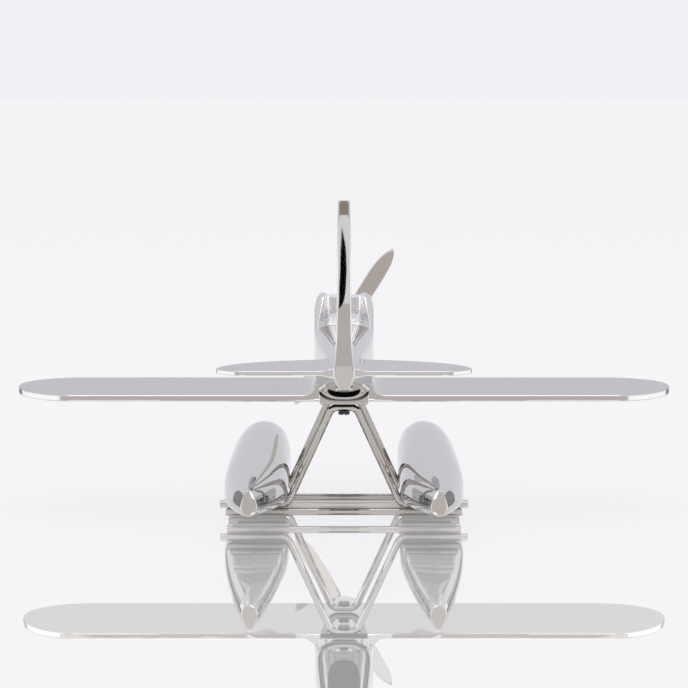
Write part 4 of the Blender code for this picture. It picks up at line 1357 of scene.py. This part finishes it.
# Bands of the room's wall behind the camera, as the castings reflect it: name, x, z, colour
ROOM_BANDS = (
    ("room_low", ROOM_X, (0.165, 0.26), (0.44, 0.40, 0.37)),
    ("room_pale", ROOM_X, (0.26, 0.32), (0.68, 0.62, 0.58)),
    ("room_brown", ROOM_X, (0.32, 0.39), (0.46, 0.38, 0.34)),
    ("room_high", ROOM_X, (0.39, 0.75), (0.52, 0.43, 0.36)),
    ("room_top", (-3.2, 3.2), (0.75, 2.3), (0.95, 0.87, 0.81)),
)
WINDOW_Y = -2.59
WINDOW_GLOW = (1.8, 1.8, 1.8)
# Windows, just before the wall: name, x, z
WINDOWS = (
    ("window", (-0.08, 0.08), (0.362, 0.6)),
    ("window_left", (-1.0, -0.3), (0.37, 0.6)),
    ("window_right", (0.3, 1.0), (0.37, 0.6)),
)
SIDE_X = 1.6
# Cards on both sides of the model: name, y, z, colour
SIDE_CARDS = (
    ("bright", (-1.9, 1.7), (0.0, 0.6), (1.6, 1.6, 1.6)),
    ("dark", (1.75, 4.2), (0.0, 0.7), (0.02, 0.018, 0.016)),
)

# The end of the table behind the camera: x and y, anticlockwise
TABLE_Z = 0.001
TABLE_END = ((-0.5, -2.6), (0.5, -2.6), (0.5, -2.15), (-0.5, -2.15))
TABLE_END_COLOUR = (0.35, 0.29, 0.25)
# A dark seam of the table, which the fin reflects: x in millimetres and y in metres, anticlockwise
SEAM = (
    (-4.6, -1.25), (-4.6, -1.38), (-4.4, -1.49), (-3.9, -1.58), (-3.7, -1.67), (-3.1, -1.76), (-2.4, -1.87),
    (-1.8, -1.97), (-1.0, -1.87), (0.2, -1.76), (1.4, -1.67), (2.0, -1.58), (2.0, -1.49), (2.1, -1.42),
    (1.6, -1.33), (1.2, -1.24), (0.6, -1.19), (-0.6, -1.13), (-2.7, -1.095), (-4.4, -1.09),
)
SEAM_COLOUR = (0.0, 0.0, 0.0)

FLOOR_REACH = 9.0
FLOOR_Z = -0.0002
OVERHEAD_PLACE = (0, 0.1, 1.5)
SENSOR_WIDTH = 36                  # millimetres


def stage_face(name, corners, material):
    """A flat face of the stage."""
    mesh = bpy.data.meshes.new(name)
    mesh.from_pydata(corners, [], [tuple(range(len(corners)))])
    mesh.materials.append(material)
    face = bpy.data.objects.new(name, mesh)
    bpy.context.scene.collection.objects.link(face)
    return face


def stage_card(name, corners, colour, flat=False):
    """A card that only reflections see."""
    card = stage_face(name, corners, glow(f"{name} glow", colour, flat))
    card.visible_camera = False


def across(y, x, z):
    """Corners of an upright card across the view, over x and z."""
    return [(x[0], y, z[0]), (x[1], y, z[0]), (x[1], y, z[1]), (x[0], y, z[1])]


def beside(x, y, z):
    """Corners of an upright card beside the model, over y and z."""
    return [(x, y[0], z[0]), (x, y[1], z[0]), (x, y[1], z[1]), (x, y[0], z[1])]


def lying(outline, z):
    """Corners of a flat card at a height."""
    return [(x, y, z) for x, y in outline]


def add_cards():
    """The cards of the room, beside the model and on the table."""
    for name, x, z, colour in ROOM_BANDS:
        stage_card(name, across(ROOM_Y, x, z), colour)
    for name, x, z in WINDOWS:
        stage_card(name, across(WINDOW_Y, x, z), WINDOW_GLOW)
    stage_card("table_end", lying(TABLE_END, TABLE_Z), TABLE_END_COLOUR, flat=True)
    for name, y, z, colour in SIDE_CARDS:
        for side, place in ((-1, "left"), (1, "right")):
            stage_card(f"{name}_{place}", beside(side * SIDE_X, y, z), colour)
    stage_card("seam", lying([(x * MM, y) for x, y in SEAM], TABLE_Z), SEAM_COLOUR, flat=True)


def add_camera(studio):
    """The camera at the photograph's viewing angle."""
    data = bpy.data.cameras.new("camera")
    data.sensor_width = SENSOR_WIDTH
    data.lens = studio.lens
    camera = bpy.data.objects.new("camera", data)
    camera.location = (0, -studio.distance, studio.height)
    camera.rotation_euler = (np.pi / 2 - studio.pitch, 0, 0)
    bpy.context.scene.collection.objects.link(camera)
    bpy.context.scene.camera = camera


def add_light(studio):
    """One large soft light above the model."""
    data = bpy.data.lights.new("overhead", "AREA")
    data.size = studio.overhead_size
    data.energy = studio.overhead
    light = bpy.data.objects.new("overhead", data)
    light.location = OVERHEAD_PLACE
    bpy.context.scene.collection.objects.link(light)


class FLOATPLANE_OT_studio(bpy.types.Operator):
    """Build the floor, the reflections' cards, the light and the camera"""

    bl_idname = "floatplane.studio"
    bl_label = "Studio"

    def execute(self, context):
        scene = context.scene
        studio = scene.floatplane_studio
        scene.view_settings.view_transform = "Standard"
        scene.world = bpy.data.worlds.new("soft air")
        scene.world.use_nodes = True
        air = scene.world.node_tree.nodes["Background"]
        air.inputs["Color"].default_value = (*studio.backdrop, 1.0)
        reach = FLOOR_REACH
        square = [(-reach, -reach), (reach, -reach), (reach, reach), (-reach, reach)]
        stage_face("floor", lying(square, FLOOR_Z), glossy_floor(tuple(studio.floor), studio.mirror))
        add_cards()
        add_light(studio)
        add_camera(studio)
        return {"FINISHED"}


# Add-on

OPERATORS = (
    FLOATPLANE_OT_fuselage,
    FLOATPLANE_OT_fin,
    FLOATPLANE_OT_wing,
    FLOATPLANE_OT_tailplane,
    FLOATPLANE_OT_floats,
    FLOATPLANE_OT_rods,
    FLOATPLANE_OT_saddle,
    FLOATPLANE_OT_screws,
    FLOATPLANE_OT_propeller,
    FLOATPLANE_OT_studio,
)
SETTINGS = (
    ("floatplane_metal", FloatplaneMetal),
    ("floatplane_edges", FloatplaneEdges),
    ("floatplane_studio", FloatplaneStudio),
)


class FLOATPLANE_PT_sidebar(bpy.types.Panel):
    """Settings and steps of the desk floatplane"""

    bl_idname = "FLOATPLANE_PT_sidebar"
    bl_label = "Desk Floatplane"
    bl_space_type = "VIEW_3D"
    bl_region_type = "UI"
    bl_category = "Floatplane"

    def draw(self, context):
        for attribute, group in SETTINGS:
            column = self.layout.column(align=True)
            for name in group.__annotations__:
                column.prop(getattr(context.scene, attribute), name)
        for operator in OPERATORS:
            self.layout.operator(operator.bl_idname)


def register():
    """Register the settings, the operators and the panel."""
    for attribute, group in SETTINGS:
        bpy.utils.register_class(group)
        setattr(bpy.types.Scene, attribute, PointerProperty(type=group))
    for item in (*OPERATORS, FLOATPLANE_PT_sidebar):
        bpy.utils.register_class(item)


def unregister():
    """Take the panel, the operators and the settings away again."""
    for item in (FLOATPLANE_PT_sidebar, *reversed(OPERATORS)):
        bpy.utils.unregister_class(item)
    for attribute, group in reversed(SETTINGS):
        delattr(bpy.types.Scene, attribute)
        bpy.utils.unregister_class(group)


def main():
    """Register the add-on, then build the model and its studio."""
    register()
    for operator in OPERATORS:
        group, name = operator.bl_idname.split(".")
        getattr(getattr(bpy.ops, group), name)()
    bpy.context.view_layer.update()


if __name__ == "__main__":
    main()
